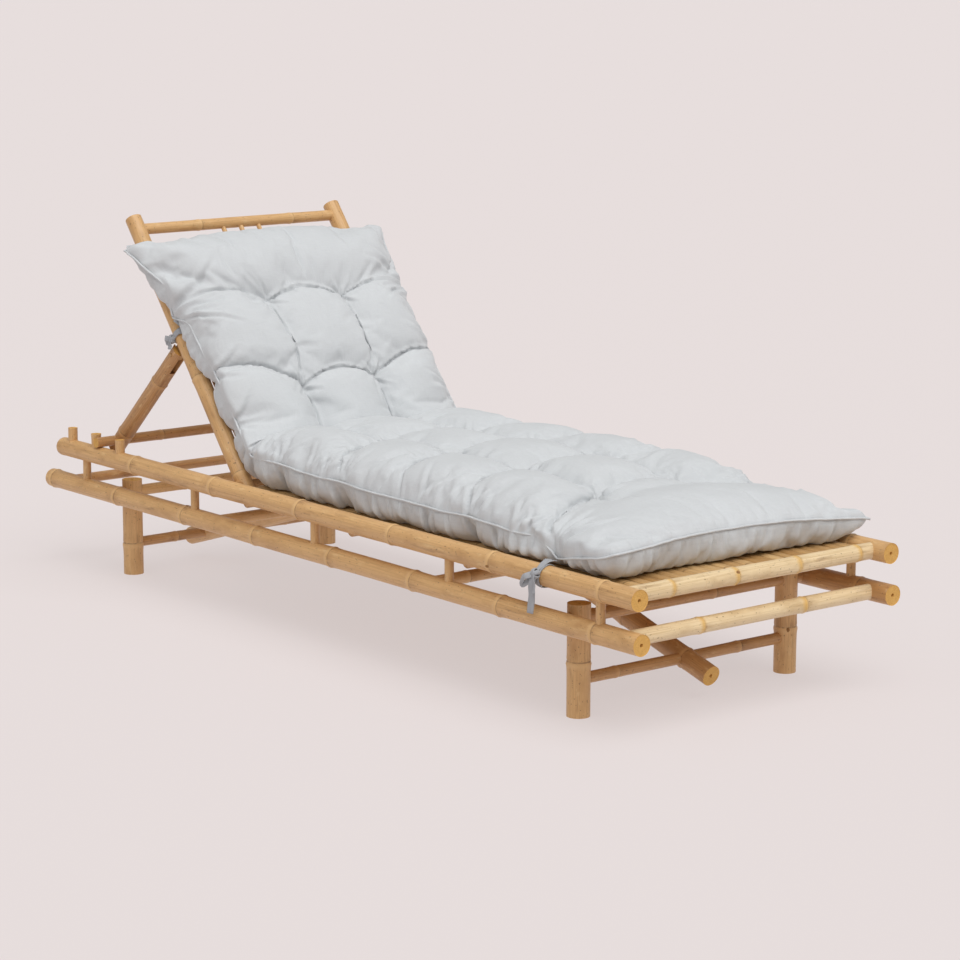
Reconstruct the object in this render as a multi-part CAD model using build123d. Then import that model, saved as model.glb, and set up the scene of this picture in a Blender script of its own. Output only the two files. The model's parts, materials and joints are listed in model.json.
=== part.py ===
from build123d import *
from math import copysign
import os

# Bamboo sun lounger with a reclining backrest, a folding prop and a tied, tufted pad.
# +X points to the foot end, +Y to the sitter's left, +Z up. The origin is on the floor, below the middle.

# Side frames
LENGTH = 2000.0
RAIL_SPACING = 630.0
RAIL_D = 40.0
UPPER_Z = 264.0
LOWER_Z = 185.0
UPPER_HEAD_SETBACK = 51.0
UPPER_FOOT_SETBACK = 7.0
SPINDLE_COUNT = 5
SPINDLE_D = 18.0
SPINDLE_HEAD_INSET = 149.0
SPINDLE_FOOT_INSET = 110.0
SPINDLE_SOCKET = 12.0
PITH_D = 6.0
PITH_DEPTH = 12.0

# Cross rails between the side frames
CROSS_SOCKET = 14.0
FOOT_CROSS_INSET = 50.0
FOOT_UPPER_D = 32.0
FOOT_LOWER_D = 30.0
HEAD_CROSS_INSET = 54.0
HEAD_LOWER_D = 22.0

# Legs, their stretchers and the braces that stiffen them
LEG_Y = 262.5
LEG_D = 44.0
LEG_TOP = 212.0
LEG_MOUTH_D = 26.0
LEG_MOUTH_DEPTH = 10.0
FOOT_LEG_INSET = 230.0
HEAD_LEG_INSET = 251.0
UPPER_STRETCHER_D = 24.0
LOWER_STRETCHER_D = 22.0
LOWER_STRETCHER_Z = 69.0
STRETCHER_SOCKET = 34.0
BRACE_D = 40.0
BRACE_REACH = 390.0
BRACE_TAIL = 76.0
BRACE_HEAD = 46.0
BRACE_BAR_D = 24.0
FOOT_BRACE_Y = 0.0
HEAD_BRACE_Y = -60.0
BRACE_PIN_D = 6.0

# Slatted deck
SLAT_PITCH = 25.3
SLAT_GAP = 1.0
SLAT_THICK = 9.0
SLAT_EDGE = 5.0
SLAT_TOP = 10.0
DECK_SIDE_GAP = 4.0
DECK_HINGE_GAP = 45.0
DECK_BAR_COUNT = 4
DECK_BAR_D = 30.0
DECK_BAR_INSET = 26.0
DECK_FOOT_BAR_INSET = 84.0

# Backrest, laid flat along -X from its hinge before it is raised
HINGE_INSET = 699.0
BACK_ANGLE = 51.4
AXLE_D = 26.0
STILE_Y = 263.0
STILE_D = 36.0
STILE_TOP = 673.0
STILE_TAIL = 26.0
BACK_RAIL_D = 24.0
BACK_RAIL_SOCKET = 12.0
TOP_RAIL_INSET = 28.0
SECOND_RAIL_DROP = 62.0
BACK_SPINDLE_COUNT = 3
BACK_SPINDLE_D = 10.0
BACK_SPINDLE_PITCH = 46.5
BACK_SPINDLE_SOCKET = 7.0
SLAT_RAIL_COUNT = 3
SLAT_RAIL_INSET = 24.0
BACK_SLAT_START = 46.0

# Prop and the pegs that stop its bar
PEG_COUNT = 3
PEG_D = 21.0
PEG_RISE = 27.0
PEG_SOCKET = 18.0
PEG_HEAD_INSET = 91.0
PEG_PITCH = 99.0
REST_PEG = 2
PROP_PIN_INSET = 321.0
PROP_PIN_DROP = 42.0
PROP_PIN_D = 9.0
PROP_PIN_PROUD = 2.0
STRUT_D = 36.0
STRUT_TAIL = 30.0
PROP_BAR_D = 22.0
PROP_BAR_OVERHANG = 14.0
TONGUE_THICK = 13.0
TONGUE_WIDTH = 25.0
TONGUE_SOCKET = 11.0

# Tufted pad, one length over the seat and one over the backrest
PAD_CREST = 133.0
PAD_VALLEY = 117.0
PAD_END = 50.0
PAD_HALF_WIDTH = 309.0
PAD_DRAW_IN = 8.0
PAD_LIP = 28.0
PAD_LIP_INSET = 4.0
PAD_SHOULDER = 30.0
PAD_SHOULDER_SHARE = 0.78
SEAT_PAD_BASE = 284.0
BACK_PAD_BASE = 230.0
PAD_FOOT_INSET = 106.0
PAD_HINGE_GAP = 62.0
PAD_TOP_GAP = 3.0
PAD_HINGE_ROUND = 78.0
PAD_ROUND = 88.0
PAD_ROUND_INSET = 36.0
PAD_BROW = 110.0
PAD_BROW_INSET = 80.0
PAD_FOOT_CREST = 132.0
SEAT_END_ROW = 258.0
BACK_END_ROW = 188.0
SEAT_ROW_PITCH = 222.0
BACK_ROW_PITCH = 208.0
PAD_TIE_INSET = 159.0
TUFT_Y = 112.0
TUFT_R = 62.0
TUFT_FLOOR = 78.0

# Fabric ties that hold the pad to the frame
TIE_WIDTH = 13.0
TIE_THICK = 2.0
TIE_KNOT = 18.0
TIE_KNOT_PROUD = 9.0
TIE_KNOT_ROUND = 3.0
TIE_TAIL_LEAN = 6.0
TIE_TAIL_SPREAD = 3.0
FOOT_TAIL = 72.0
HEAD_TAIL = 42.0

# Clearances
SOCKET_FIT = 0.1
HINGE_FIT = 0.1
RUN_GAP = 0.3
FORK_GAP = 0.5

# Places worked out from the sizes above
HEAD_END = -LENGTH / 2
FOOT_END = LENGTH / 2
RAIL_Y = RAIL_SPACING / 2
RAIL_INNER_Y = RAIL_Y - RAIL_D / 2
CROSS_END_Y = RAIL_INNER_Y + CROSS_SOCKET
FOOT_CROSS_X = FOOT_END - FOOT_CROSS_INSET
HEAD_CROSS_X = HEAD_END + HEAD_CROSS_INSET
FOOT_LEG_X = FOOT_END - FOOT_LEG_INSET
HEAD_LEG_X = HEAD_END + HEAD_LEG_INSET
HINGE_X = HEAD_END + HINGE_INSET
PROP_PIN_X = -(STILE_TOP - PROP_PIN_INSET)
STILE_INNER_Y = STILE_Y - STILE_D / 2
SLAT_WIDTH = SLAT_PITCH - SLAT_GAP
HINGE = Pos(HINGE_X, 0, UPPER_Z)
RAISED = HINGE * Rot(0, BACK_ANGLE, 0)
SIDES = {"right": -1, "left": 1}


def pole(start, end, diameter):
    """A round pole from one point to another."""
    axis = Vector(end) - Vector(start)
    upright = Cylinder(diameter / 2, axis.length, align=(Align.CENTER, Align.CENTER, Align.MIN))
    return Plane(origin=start, z_dir=axis) * upright


def crosswise(x, half_length, z, diameter):
    """Start, end and diameter of a pole that runs across the lounger."""
    return (x, -half_length, z), (x, half_length, z), diameter


def socket_for(member, fit=SOCKET_FIT):
    """The hole that a pole needs in the piece that holds it."""
    start, end, diameter = member
    return pole(start, end, diameter + 2 * fit)


def bored(piece, members, fit=SOCKET_FIT):
    """The piece with a hole for each of the poles."""
    for member in members:
        piece = piece - socket_for(member, fit)
    return piece


def evenly(first, last, count):
    """Evenly spaced places from the first to the last."""
    return [first + (last - first) * i / (count - 1) for i in range(count)]


def with_pith(piece, start, end):
    """A pole with the small pith hole that bamboo shows at both ends."""
    axis = (Vector(end) - Vector(start)).normalized()
    for tip, inward in ((Vector(start), axis), (Vector(end), -axis)):
        piece = piece - pole(tip, tip + inward * PITH_DEPTH, PITH_D)
    return piece


def side_members():
    """Spindles and pegs of both side frames, by name."""
    spindles, pegs = {}, {}
    for side, sign in SIDES.items():
        y = sign * RAIL_Y
        low = LOWER_Z + RAIL_D / 2 - SPINDLE_SOCKET
        high = UPPER_Z - RAIL_D / 2 + SPINDLE_SOCKET
        places = evenly(HEAD_END + SPINDLE_HEAD_INSET, FOOT_END - SPINDLE_FOOT_INSET, SPINDLE_COUNT)
        for number, x in enumerate(places, 1):
            spindles[f"{side}_spindle_{number}"] = ((x, y, low), (x, y, high), SPINDLE_D)
        rail_top = UPPER_Z + RAIL_D / 2
        for number in range(1, PEG_COUNT + 1):
            x = peg_x(number)
            base, tip = (x, y, rail_top - PEG_SOCKET), (x, y, rail_top + PEG_RISE)
            pegs[f"{side}_peg_{number}"] = (base, tip, PEG_D)
    return spindles, pegs


def peg_x(number):
    """Place of a peg along the rail, counted from the head end."""
    return HEAD_END + PEG_HEAD_INSET + (number - 1) * PEG_PITCH


def upper_cross_members():
    """Poles held between the two upper rails."""
    bar_z = UPPER_Z + SLAT_TOP - SLAT_THICK - DECK_BAR_D / 2
    first = HINGE_X + DECK_HINGE_GAP + DECK_BAR_INSET
    last = FOOT_CROSS_X - DECK_FOOT_BAR_INSET
    members = {
        "foot_upper_cross_rail": crosswise(FOOT_CROSS_X, CROSS_END_Y, UPPER_Z, FOOT_UPPER_D),
        "backrest_axle": crosswise(HINGE_X, CROSS_END_Y, UPPER_Z, AXLE_D),
    }
    for number, x in enumerate(evenly(first, last, DECK_BAR_COUNT), 1):
        members[f"deck_bar_{number}"] = crosswise(x, CROSS_END_Y, bar_z, DECK_BAR_D)
    return members


def lower_cross_members():
    """Poles held between the two lower rails."""
    return {
        "foot_lower_cross_rail": crosswise(FOOT_CROSS_X, CROSS_END_Y, LOWER_Z, FOOT_LOWER_D),
        "head_lower_cross_rail": crosswise(HEAD_CROSS_X, CROSS_END_Y, LOWER_Z, HEAD_LOWER_D),
        "foot_upper_stretcher": crosswise(FOOT_LEG_X, CROSS_END_Y, LOWER_Z, UPPER_STRETCHER_D),
        "head_upper_stretcher": crosswise(HEAD_LEG_X, CROSS_END_Y, LOWER_Z, UPPER_STRETCHER_D),
        "foot_brace_bar": crosswise(FOOT_LEG_X - BRACE_REACH, CROSS_END_Y, LOWER_Z, BRACE_BAR_D),
        "head_brace_bar": crosswise(HEAD_LEG_X + BRACE_REACH, CROSS_END_Y, LOWER_Z, BRACE_BAR_D),
    }


def rails(spindles, pegs, upper, lower):
    """The four long rails, bored for everything that they hold."""
    pieces = {}
    for side, sign in SIDES.items():
        y = sign * RAIL_Y
        mine = [m for name, m in spindles.items() if name.startswith(side)]
        my_pegs = [m for name, m in pegs.items() if name.startswith(side)]
        ends = {
            "upper": (HEAD_END + UPPER_HEAD_SETBACK, FOOT_END - UPPER_FOOT_SETBACK, UPPER_Z),
            "lower": (HEAD_END, FOOT_END, LOWER_Z),
        }
        held = {"upper": mine + my_pegs + list(upper.values()), "lower": mine + list(lower.values())}
        for level, (head, foot, z) in ends.items():
            start, end = (head, y, z), (foot, y, z)
            rail = bored(pole(start, end, RAIL_D), held[level])
            pieces[f"{side}_{level}_rail"] = with_pith(rail, start, end)
    return pieces


def legs_and_braces(lower):
    """Both leg frames, with the brace that each lower stretcher carries."""
    pieces = {"brace_pins": []}
    half = LEG_Y - LEG_D / 2 + STRETCHER_SOCKET
    for end, leg_x, inward, brace_y in (
        ("foot", FOOT_LEG_X, -1, FOOT_BRACE_Y),
        ("head", HEAD_LEG_X, 1, HEAD_BRACE_Y),
    ):
        stretcher = crosswise(leg_x, half, LOWER_STRETCHER_Z, LOWER_STRETCHER_D)
        top_stretcher = lower[f"{end}_upper_stretcher"]
        for side, sign in SIDES.items():
            base, top = (leg_x, sign * LEG_Y, 0), (leg_x, sign * LEG_Y, LEG_TOP)
            leg = bored(pole(base, top, LEG_D), [stretcher, top_stretcher])
            mouth = (leg_x, sign * LEG_Y, LEG_TOP - LEG_MOUTH_DEPTH)
            pieces[f"{side}_{end}_leg"] = leg - pole(mouth, top, LEG_MOUTH_D)
        brace, pin = brace_members(leg_x, inward, brace_y)
        pieces[f"{end}_brace"] = bored(pole(*brace), [stretcher, lower[f"{end}_brace_bar"], pin])
        pieces["brace_pins"].append(pole(*pin))
        pieces[f"{end}_lower_stretcher"] = bored(pole(*stretcher), [pin])
    return pieces


def brace_members(leg_x, inward, y):
    """A brace through its lower stretcher and its bar, and the pin that locks it to the stretcher."""
    foot = Vector(leg_x, y, LOWER_STRETCHER_Z)
    head = Vector(leg_x + inward * BRACE_REACH, y, LOWER_Z)
    along = (head - foot).normalized()
    across = Vector(-inward * along.Z, 0, inward * along.X)
    start, end = foot - along * BRACE_TAIL, head + along * BRACE_HEAD
    brace = (start, end, BRACE_D)
    pin_reach = across * (BRACE_D / 2)
    pin = (foot - pin_reach, foot + pin_reach, BRACE_PIN_D)
    return brace, pin


def slat(start_x, end_x, y):
    """A split bamboo slat: flat below, rounded above, with its top at the deck's level."""
    half = SLAT_WIDTH / 2
    bottom = SLAT_TOP - SLAT_THICK
    shoulder = bottom + SLAT_EDGE
    outline = Wire(
        [
            Line((-half, bottom), (half, bottom)),
            Line((half, bottom), (half, shoulder)),
            ThreePointArc((half, shoulder), (0, SLAT_TOP), (-half, shoulder)),
            Line((-half, shoulder), (-half, bottom)),
        ]
    )
    section = Plane(origin=(start_x, y, 0), x_dir=(0, 1, 0), z_dir=(1, 0, 0)) * make_face(outline)
    return extrude(section, end_x - start_x)


def slats(start_x, end_x, half_width):
    """As many slats, side by side, as the width takes."""
    count = int(2 * half_width // SLAT_PITCH)
    places = [(i - (count - 1) / 2) * SLAT_PITCH for i in range(count)]
    return [slat(start_x, end_x, y) for y in places]


def deck():
    """Slats between the backrest's axle and the foot cross rail."""
    start = HINGE_X + DECK_HINGE_GAP
    end = FOOT_CROSS_X - FOOT_UPPER_D / 2 - RUN_GAP
    return [Pos(0, 0, UPPER_Z) * one for one in slats(start, end, RAIL_INNER_Y - DECK_SIDE_GAP)]


def backrest():
    """The backrest's pieces, still flat along -X with the hinge at the origin."""
    half = STILE_INNER_Y + BACK_RAIL_SOCKET
    top_x = -(STILE_TOP - TOP_RAIL_INSET)
    second_x = top_x + SECOND_RAIL_DROP
    slat_rail_z = SLAT_TOP - SLAT_THICK - BACK_RAIL_D / 2
    members = {
        "back_top_rail": crosswise(top_x, half, 0, BACK_RAIL_D),
        "back_second_rail": crosswise(second_x, half, 0, BACK_RAIL_D),
    }
    slat_end = second_x + BACK_RAIL_D / 2 + RUN_GAP
    places = evenly(-BACK_SLAT_START - SLAT_RAIL_INSET, slat_end + SLAT_RAIL_INSET, SLAT_RAIL_COUNT)
    for number, x in enumerate(places, 1):
        members[f"back_slat_rail_{number}"] = crosswise(x, half, slat_rail_z, BACK_RAIL_D)
    spindle_start = top_x + BACK_RAIL_D / 2 - BACK_SPINDLE_SOCKET
    spindle_end = second_x - BACK_RAIL_D / 2 + BACK_SPINDLE_SOCKET
    spindles = []
    for i in range(BACK_SPINDLE_COUNT):
        y = (i - (BACK_SPINDLE_COUNT - 1) / 2) * BACK_SPINDLE_PITCH
        spindles.append(((spindle_start, y, 0), (spindle_end, y, 0), BACK_SPINDLE_D))

    pieces = {}
    for name, member in members.items():
        holds_spindles = name in ("back_top_rail", "back_second_rail")
        pieces[name] = bored(pole(*member), spindles if holds_spindles else [])
    axle = crosswise(0, CROSS_END_Y, 0, AXLE_D)
    for side, sign in SIDES.items():
        start, end = (STILE_TAIL, sign * STILE_Y, 0), (-STILE_TOP, sign * STILE_Y, 0)
        stile = bored(pole(start, end, STILE_D), members.values())
        stile = bored(stile, [axle], HINGE_FIT) - tongue_blank(sign * STILE_Y, SOCKET_FIT)
        pieces[f"{side}_stile"] = with_pith(stile, start, end)
        pin = prop_pin(PROP_PIN_X, sign * STILE_Y, -PROP_PIN_DROP)
        pieces[f"{side}_prop_tongue"] = bored(tongue_blank(sign * STILE_Y, 0), [pin], HINGE_FIT)
    pieces["back_spindles"] = [pole(*member) for member in spindles]
    pieces["back_slats"] = slats(slat_end, -BACK_SLAT_START, STILE_INNER_Y - DECK_SIDE_GAP)
    return pieces


def tongue_blank(y, fit):
    """The flat tongue let into a stile's back, grown all round by a fit."""
    top = -STILE_D / 2 + TONGUE_SOCKET + fit
    thick = TONGUE_THICK + 2 * fit
    shank_height = top + PROP_PIN_DROP
    shank = Box(TONGUE_WIDTH + 2 * fit, thick, shank_height, align=(Align.CENTER, Align.CENTER, Align.MIN))
    nose = Rot(90, 0, 0) * Cylinder(TONGUE_WIDTH / 2 + fit, thick)
    return Pos(PROP_PIN_X, y, -PROP_PIN_DROP) * (shank + nose)


def prop_pin(x, y, z):
    """The dowel that a prop strut turns on."""
    reach = STRUT_D / 2 + PROP_PIN_PROUD
    return (x, y - reach, z), (x, y + reach, z), PROP_PIN_D


def prop():
    """The prop: two forked struts and the bar that rests on the rails behind a peg."""
    pivot = (RAISED * Pos(PROP_PIN_X, 0, -PROP_PIN_DROP)).position
    bar_x = peg_x(REST_PEG) + PEG_D / 2 + PROP_BAR_D / 2 + RUN_GAP
    bar_z = UPPER_Z + RAIL_D / 2 + PROP_BAR_D / 2 + RUN_GAP
    along = Vector(bar_x - pivot.X, 0, bar_z - pivot.Z)
    down = along.normalized()
    bar = crosswise(bar_x, RAIL_Y + PROP_BAR_OVERHANG, bar_z, PROP_BAR_D)
    slot_depth = TONGUE_WIDTH / 2 + RUN_GAP
    pieces = {"prop_bar": pole(*bar)}
    for side, sign in SIDES.items():
        hub = Vector(pivot.X, sign * STILE_Y, pivot.Z)
        tip = hub + along + down * STRUT_TAIL
        strut = pole(hub, tip, STRUT_D) + Pos(hub) * Sphere(STRUT_D / 2)
        pin = prop_pin(hub.X, hub.Y, hub.Z)
        slot = Box(
            STRUT_D + RUN_GAP, TONGUE_THICK + 2 * FORK_GAP, STRUT_D / 2 + slot_depth + RUN_GAP,
            align=(Align.CENTER, Align.CENTER, Align.MAX),
        )
        slot_place = Plane(origin=hub + down * slot_depth, x_dir=down.cross(Vector(0, 1, 0)) * -1, z_dir=down)
        pieces[f"{side}_prop_strut"] = bored(strut - slot_place * slot, [pin, bar])
        pieces[f"{side}_prop_pin"] = pole(*pin)
    return pieces


def pad_section(x, half_width, base, height):
    """One upright slice of the pad: flat below, drawn in at the lip, crowned above."""
    lip_y = half_width - PAD_LIP_INSET
    fullness = (height - PAD_LIP) / (PAD_CREST - PAD_LIP)
    shoulder_y = half_width - PAD_SHOULDER * fullness
    shoulder_z = PAD_LIP + PAD_SHOULDER_SHARE * (height - PAD_LIP)
    bulge = (half_width, (PAD_LIP + shoulder_z) / 2)
    outline = Wire(
        [
            Line((-base, 0), (base, 0)),
            Line((base, 0), (lip_y, PAD_LIP)),
            ThreePointArc((lip_y, PAD_LIP), bulge, (shoulder_y, shoulder_z)),
            ThreePointArc((shoulder_y, shoulder_z), (0, height), (-shoulder_y, shoulder_z)),
            ThreePointArc((-shoulder_y, shoulder_z), (-bulge[0], bulge[1]), (-lip_y, PAD_LIP)),
            Line((-lip_y, PAD_LIP), (-base, 0)),
        ]
    )
    return Plane(origin=(x, 0, 0), x_dir=(0, 1, 0), z_dir=(1, 0, 0)) * make_face(outline)


def pad(outer_x, hinge_x, rows, base, swells):
    """A stuffed pad from its outer end to the hinge, drawn down and in along each row of tufts."""
    inward = copysign(1, hinge_x - outer_x)
    slices = [(outer_x, PAD_END), (outer_x + inward * PAD_ROUND_INSET, PAD_ROUND)]
    slices += [(outer_x + inward * PAD_BROW_INSET, PAD_BROW)]
    slices += [(x, PAD_VALLEY) for x in rows]
    slices += [((a + b) / 2, PAD_CREST) for a, b in zip(rows, rows[1:])]
    slices += [(hinge_x - inward * PAD_ROUND_INSET, PAD_HINGE_ROUND), (hinge_x, PAD_END)]
    slices += swells
    sections = []
    for x, height in sorted(slices):
        draw = PAD_DRAW_IN * (PAD_CREST - height) / (PAD_CREST - PAD_END)
        sections.append(pad_section(x, PAD_HALF_WIDTH - draw, base, height))
    stuffed = loft(sections)
    for x in rows:
        for y in (-TUFT_Y, TUFT_Y):
            stuffed = stuffed - Pos(x, y, TUFT_FLOOR + TUFT_R) * Sphere(TUFT_R)
    return stuffed


def row_drops(length, end_row, pitch):
    """How far each row of tufts lies from the pad's outer end, as many as fit before the hinge end."""
    count = 1 + int((length - PAD_ROUND_INSET - end_row) / pitch)
    return [end_row + i * pitch for i in range(count)]


def seat_pad():
    """The pad's seat length, on the deck."""
    foot = FOOT_END - PAD_FOOT_INSET
    near_hinge = HINGE_X + PAD_HINGE_GAP
    rows = [foot - drop for drop in row_drops(foot - near_hinge, SEAT_END_ROW, SEAT_ROW_PITCH)]
    pillow = (foot - SEAT_END_ROW / 2, PAD_FOOT_CREST)
    whole = pad(foot, near_hinge, rows, SEAT_PAD_BASE, [pillow])
    return Pos(0, 0, UPPER_Z + SLAT_TOP + RUN_GAP) * whole


def back_pad():
    """The pad's back length, still flat with the hinge at the origin."""
    top = -(STILE_TOP - TOP_RAIL_INSET - SECOND_RAIL_DROP - BACK_RAIL_D / 2 - PAD_TOP_GAP)
    rows = [top + drop for drop in row_drops(-PAD_HINGE_GAP - top, BACK_END_ROW, BACK_ROW_PITCH)]
    return Pos(0, 0, SLAT_TOP + RUN_GAP) * pad(top, -PAD_HINGE_GAP, rows, BACK_PAD_BASE, [])


def tie(pole_d, sign, tail):
    """A fabric tie round a pole that runs along X: loop, knot and two tails on the outer side."""
    inner = pole_d / 2 + RUN_GAP
    loop = Cylinder(inner + TIE_THICK, TIE_WIDTH) - Cylinder(inner, TIE_WIDTH)
    knot_depth = TIE_THICK + TIE_KNOT_PROUD
    knot = Box(TIE_KNOT, knot_depth, TIE_KNOT, align=(Align.CENTER, Align.MIN, Align.CENTER))
    knot = fillet(knot.edges(), TIE_KNOT_ROUND)
    whole = Rot(0, 90, 0) * loop + Pos(0, inner, 0) * knot
    for layer, lean in enumerate((-1, 1), 1):
        strip = Box(TIE_WIDTH, TIE_THICK, tail, align=(Align.CENTER, Align.CENTER, Align.MAX))
        place = Pos(lean * TIE_TAIL_SPREAD, inner + layer * TIE_THICK, 0)
        whole = whole + place * Rot(0, -TIE_TAIL_LEAN * lean, 0) * strip
    return whole if sign > 0 else mirror(whole, Plane.XZ)


def ties():
    """The four ties: two round the upper rails near the foot, two round the stiles near the top."""
    foot_x = FOOT_END - PAD_FOOT_INSET - PAD_TIE_INSET
    head_x = -(STILE_TOP - TOP_RAIL_INSET - SECOND_RAIL_DROP - BACK_RAIL_D / 2 - PAD_TOP_GAP) + PAD_TIE_INSET
    pieces = {}
    for side, sign in SIDES.items():
        pieces[f"{side}_foot_tie"] = Pos(foot_x, sign * RAIL_Y, UPPER_Z) * tie(RAIL_D, sign, FOOT_TAIL)
        pieces[f"{side}_head_tie"] = RAISED * Pos(head_x, sign * STILE_Y, 0) * tie(STILE_D, sign, HEAD_TAIL)
    return pieces


def lounger():
    """Every node of the lounger: a solid, or a list of like solids."""
    spindles, pegs = side_members()
    upper, lower = upper_cross_members(), lower_cross_members()
    nodes = rails(spindles, pegs, upper, lower)
    nodes.update({name: pole(*member) for name, member in {**spindles, **upper, **lower}.items()})
    for side in SIDES:
        nodes[f"{side}_pegs"] = [pole(*member) for name, member in pegs.items() if name.startswith(side)]
    nodes.update(legs_and_braces(lower))
    nodes["seat_slats"] = deck()
    for name, piece in backrest().items():
        nodes[name] = [RAISED * one for one in piece] if isinstance(piece, list) else RAISED * piece
    nodes.update(prop())
    nodes["seat_pad"] = seat_pad()
    nodes["back_pad"] = RAISED * back_pad()
    nodes.update(ties())
    return nodes


os.makedirs("parts", exist_ok=True)
for node, shape in lounger().items():
    group = shape if isinstance(shape, list) else [shape]
    solids = [solid for one in group for solid in one.solids()]
    export_step(Compound(label=node, children=solids), os.path.join("parts", f"{node}.step"))
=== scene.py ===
"""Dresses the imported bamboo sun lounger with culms, a tufted pad, fabric ties and a stage."""
import json
import math
import random

import bmesh
import bpy
import numpy as np
from mathutils import Matrix, Vector
from mathutils.kdtree import KDTree


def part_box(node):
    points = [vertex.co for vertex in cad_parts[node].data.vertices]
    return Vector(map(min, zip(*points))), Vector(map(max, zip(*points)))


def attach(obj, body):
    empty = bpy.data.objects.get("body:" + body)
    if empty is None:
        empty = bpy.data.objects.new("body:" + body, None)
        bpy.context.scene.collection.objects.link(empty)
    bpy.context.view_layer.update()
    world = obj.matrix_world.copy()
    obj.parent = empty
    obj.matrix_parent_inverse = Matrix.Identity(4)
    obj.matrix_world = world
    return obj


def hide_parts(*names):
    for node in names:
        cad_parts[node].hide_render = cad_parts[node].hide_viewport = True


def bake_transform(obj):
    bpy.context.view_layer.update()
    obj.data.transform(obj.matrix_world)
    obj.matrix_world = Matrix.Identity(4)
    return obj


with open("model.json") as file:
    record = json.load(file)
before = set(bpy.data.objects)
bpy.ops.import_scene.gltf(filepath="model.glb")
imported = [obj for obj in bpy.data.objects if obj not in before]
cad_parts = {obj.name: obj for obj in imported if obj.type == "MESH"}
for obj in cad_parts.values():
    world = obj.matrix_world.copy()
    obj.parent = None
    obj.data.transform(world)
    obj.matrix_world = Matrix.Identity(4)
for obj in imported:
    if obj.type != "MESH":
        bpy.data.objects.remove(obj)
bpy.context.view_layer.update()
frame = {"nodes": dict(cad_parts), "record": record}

bl_info = {
    "name": "Bamboo sun lounger",
    "version": (1, 0, 0),
    "blender": (4, 5, 0),
    "location": "3D View > Sidebar > Lounger",
    "description": "Dresses the packed lounger with bamboo culms, a tufted pad, ties and a stage",
    "category": "Object",
}

# Pieces by kind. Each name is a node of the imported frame.
SIDES = ("right", "left")
HONEY_POLES = (
    [f"{side}_{level}_rail" for side in SIDES for level in ("upper", "lower")]
    + [f"{side}_{end}_leg" for side in SIDES for end in ("foot", "head")]
    + [f"{end}_{level}_stretcher" for end in ("foot", "head") for level in ("upper", "lower")]
    + ["foot_brace", "head_brace", "foot_brace_bar", "head_brace_bar", "head_lower_cross_rail"]
    + [f"deck_bar_{number}" for number in range(1, 5)]
    + ["backrest_axle", "right_stile", "left_stile", "back_top_rail", "back_second_rail"]
    + [f"back_slat_rail_{number}" for number in range(1, 4)]
    + ["prop_bar", "right_prop_strut", "left_prop_strut"]
)
# Culms with a browner finish: the poles low down, under the deck and on the far side. The browner colour is
# partly the culms' own tone and partly painted shade for poles that sit out of the light.
BROWN_SHADED_POLES = (
    "prop_bar", "right_prop_strut", "left_prop_strut", "head_lower_stretcher", "foot_lower_stretcher",
    "foot_upper_stretcher", "head_lower_cross_rail", "backrest_axle", "foot_brace", "left_lower_rail",
)
DOWELS = (
    [f"{side}_spindle_{number}" for side in SIDES for number in range(1, 6)]
    + ["right_pegs", "left_pegs", "back_spindles"]
)
STRAW_POLES = ["foot_upper_cross_rail", "foot_lower_cross_rail"]
SMALL_FITTINGS = ["right_prop_tongue", "left_prop_tongue", "right_prop_pin", "left_prop_pin", "brace_pins"]
SLATS = ["seat_slats", "back_slats"]
# Culms whose nodes show in the photo: the first node's place from the lower or -X, -Y end, and the spacing
NODE_PLACES = {
    "right_upper_rail": (0.305, 0.309), "right_lower_rail": (0.285, 0.266),
    "left_upper_rail": (0.296, 0.309), "left_lower_rail": (0.327, 0.318),
    "right_stile": (0.053, 0.238), "left_stile": (0.080, 0.260),
    "right_prop_strut": (0.060, 0.191), "left_prop_strut": (0.110, 0.200),
    "foot_upper_cross_rail": (0.100, 0.157), "foot_lower_cross_rail": (0.174, 0.259),
    "foot_lower_stretcher": (0.100, 0.309), "head_lower_stretcher": (0.122, 0.300),
    "right_head_leg": (0.066, 0.300), "left_foot_leg": (0.087, 0.300), "right_foot_leg": (0.400, 0.300),
    "back_top_rail": (0.150, 0.243), "foot_brace": (0.282, 0.174),
}
DOWEL_SPACING, STRAW_SPACING = 0.14, 0.16

# Culms. A layer of colour is a noise: its stretch along and across, its detail, its range and its share.
CULM_LAYERS = {
    "fibres": (6.0, 420.0, 4.0, 0.40, 0.76, 0.62),
    "mottling": (14.0, 30.0, 3.0, 0.46, 0.74, 0.55),
    "worn wax": (34.0, 110.0, 5.0, 0.56, 0.72, 0.38),
    "weather": (9.0, 75.0, 6.0, 0.58, 0.78, 0.62),
    "specks": (150.0, 260.0, 2.0, 0.64, 0.73, 0.7),
}
GROOVE_PLACE, RING_WAVER = 0.0045, 0.012
# A node's swelling, ridge and groove: place, width and share of the ridge's height
NODE_SWELLS = ((0.0, 0.012, 0.55), (-0.0005, 0.003, 0.6), (GROOVE_PLACE, 0.0022, -0.75))
CULM_SIDES, COARSE_STEP, FINE_STEP = 28, 0.005, 0.0035
SCAR_SIZE, SCAR_SHARE, SCAR_SEED_STEP = (0.0048, 0.004, 0.0022), 0.45, 77.0
THIN_POLE, DOWEL_RADIUS, FULL_RIDGE_RADIUS = 0.014, 0.01, 0.02
RIM, RIM_BEVEL, PITH_RADIUS, PITH_DEPTH = 0.0012, 0.0008, 0.0048, 0.009
SLOT_SIZE, SLOT_PLAY = 0.09, 0.0006
FIRST_TILT, LAST_TILT = 0.03, 0.00005

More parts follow.
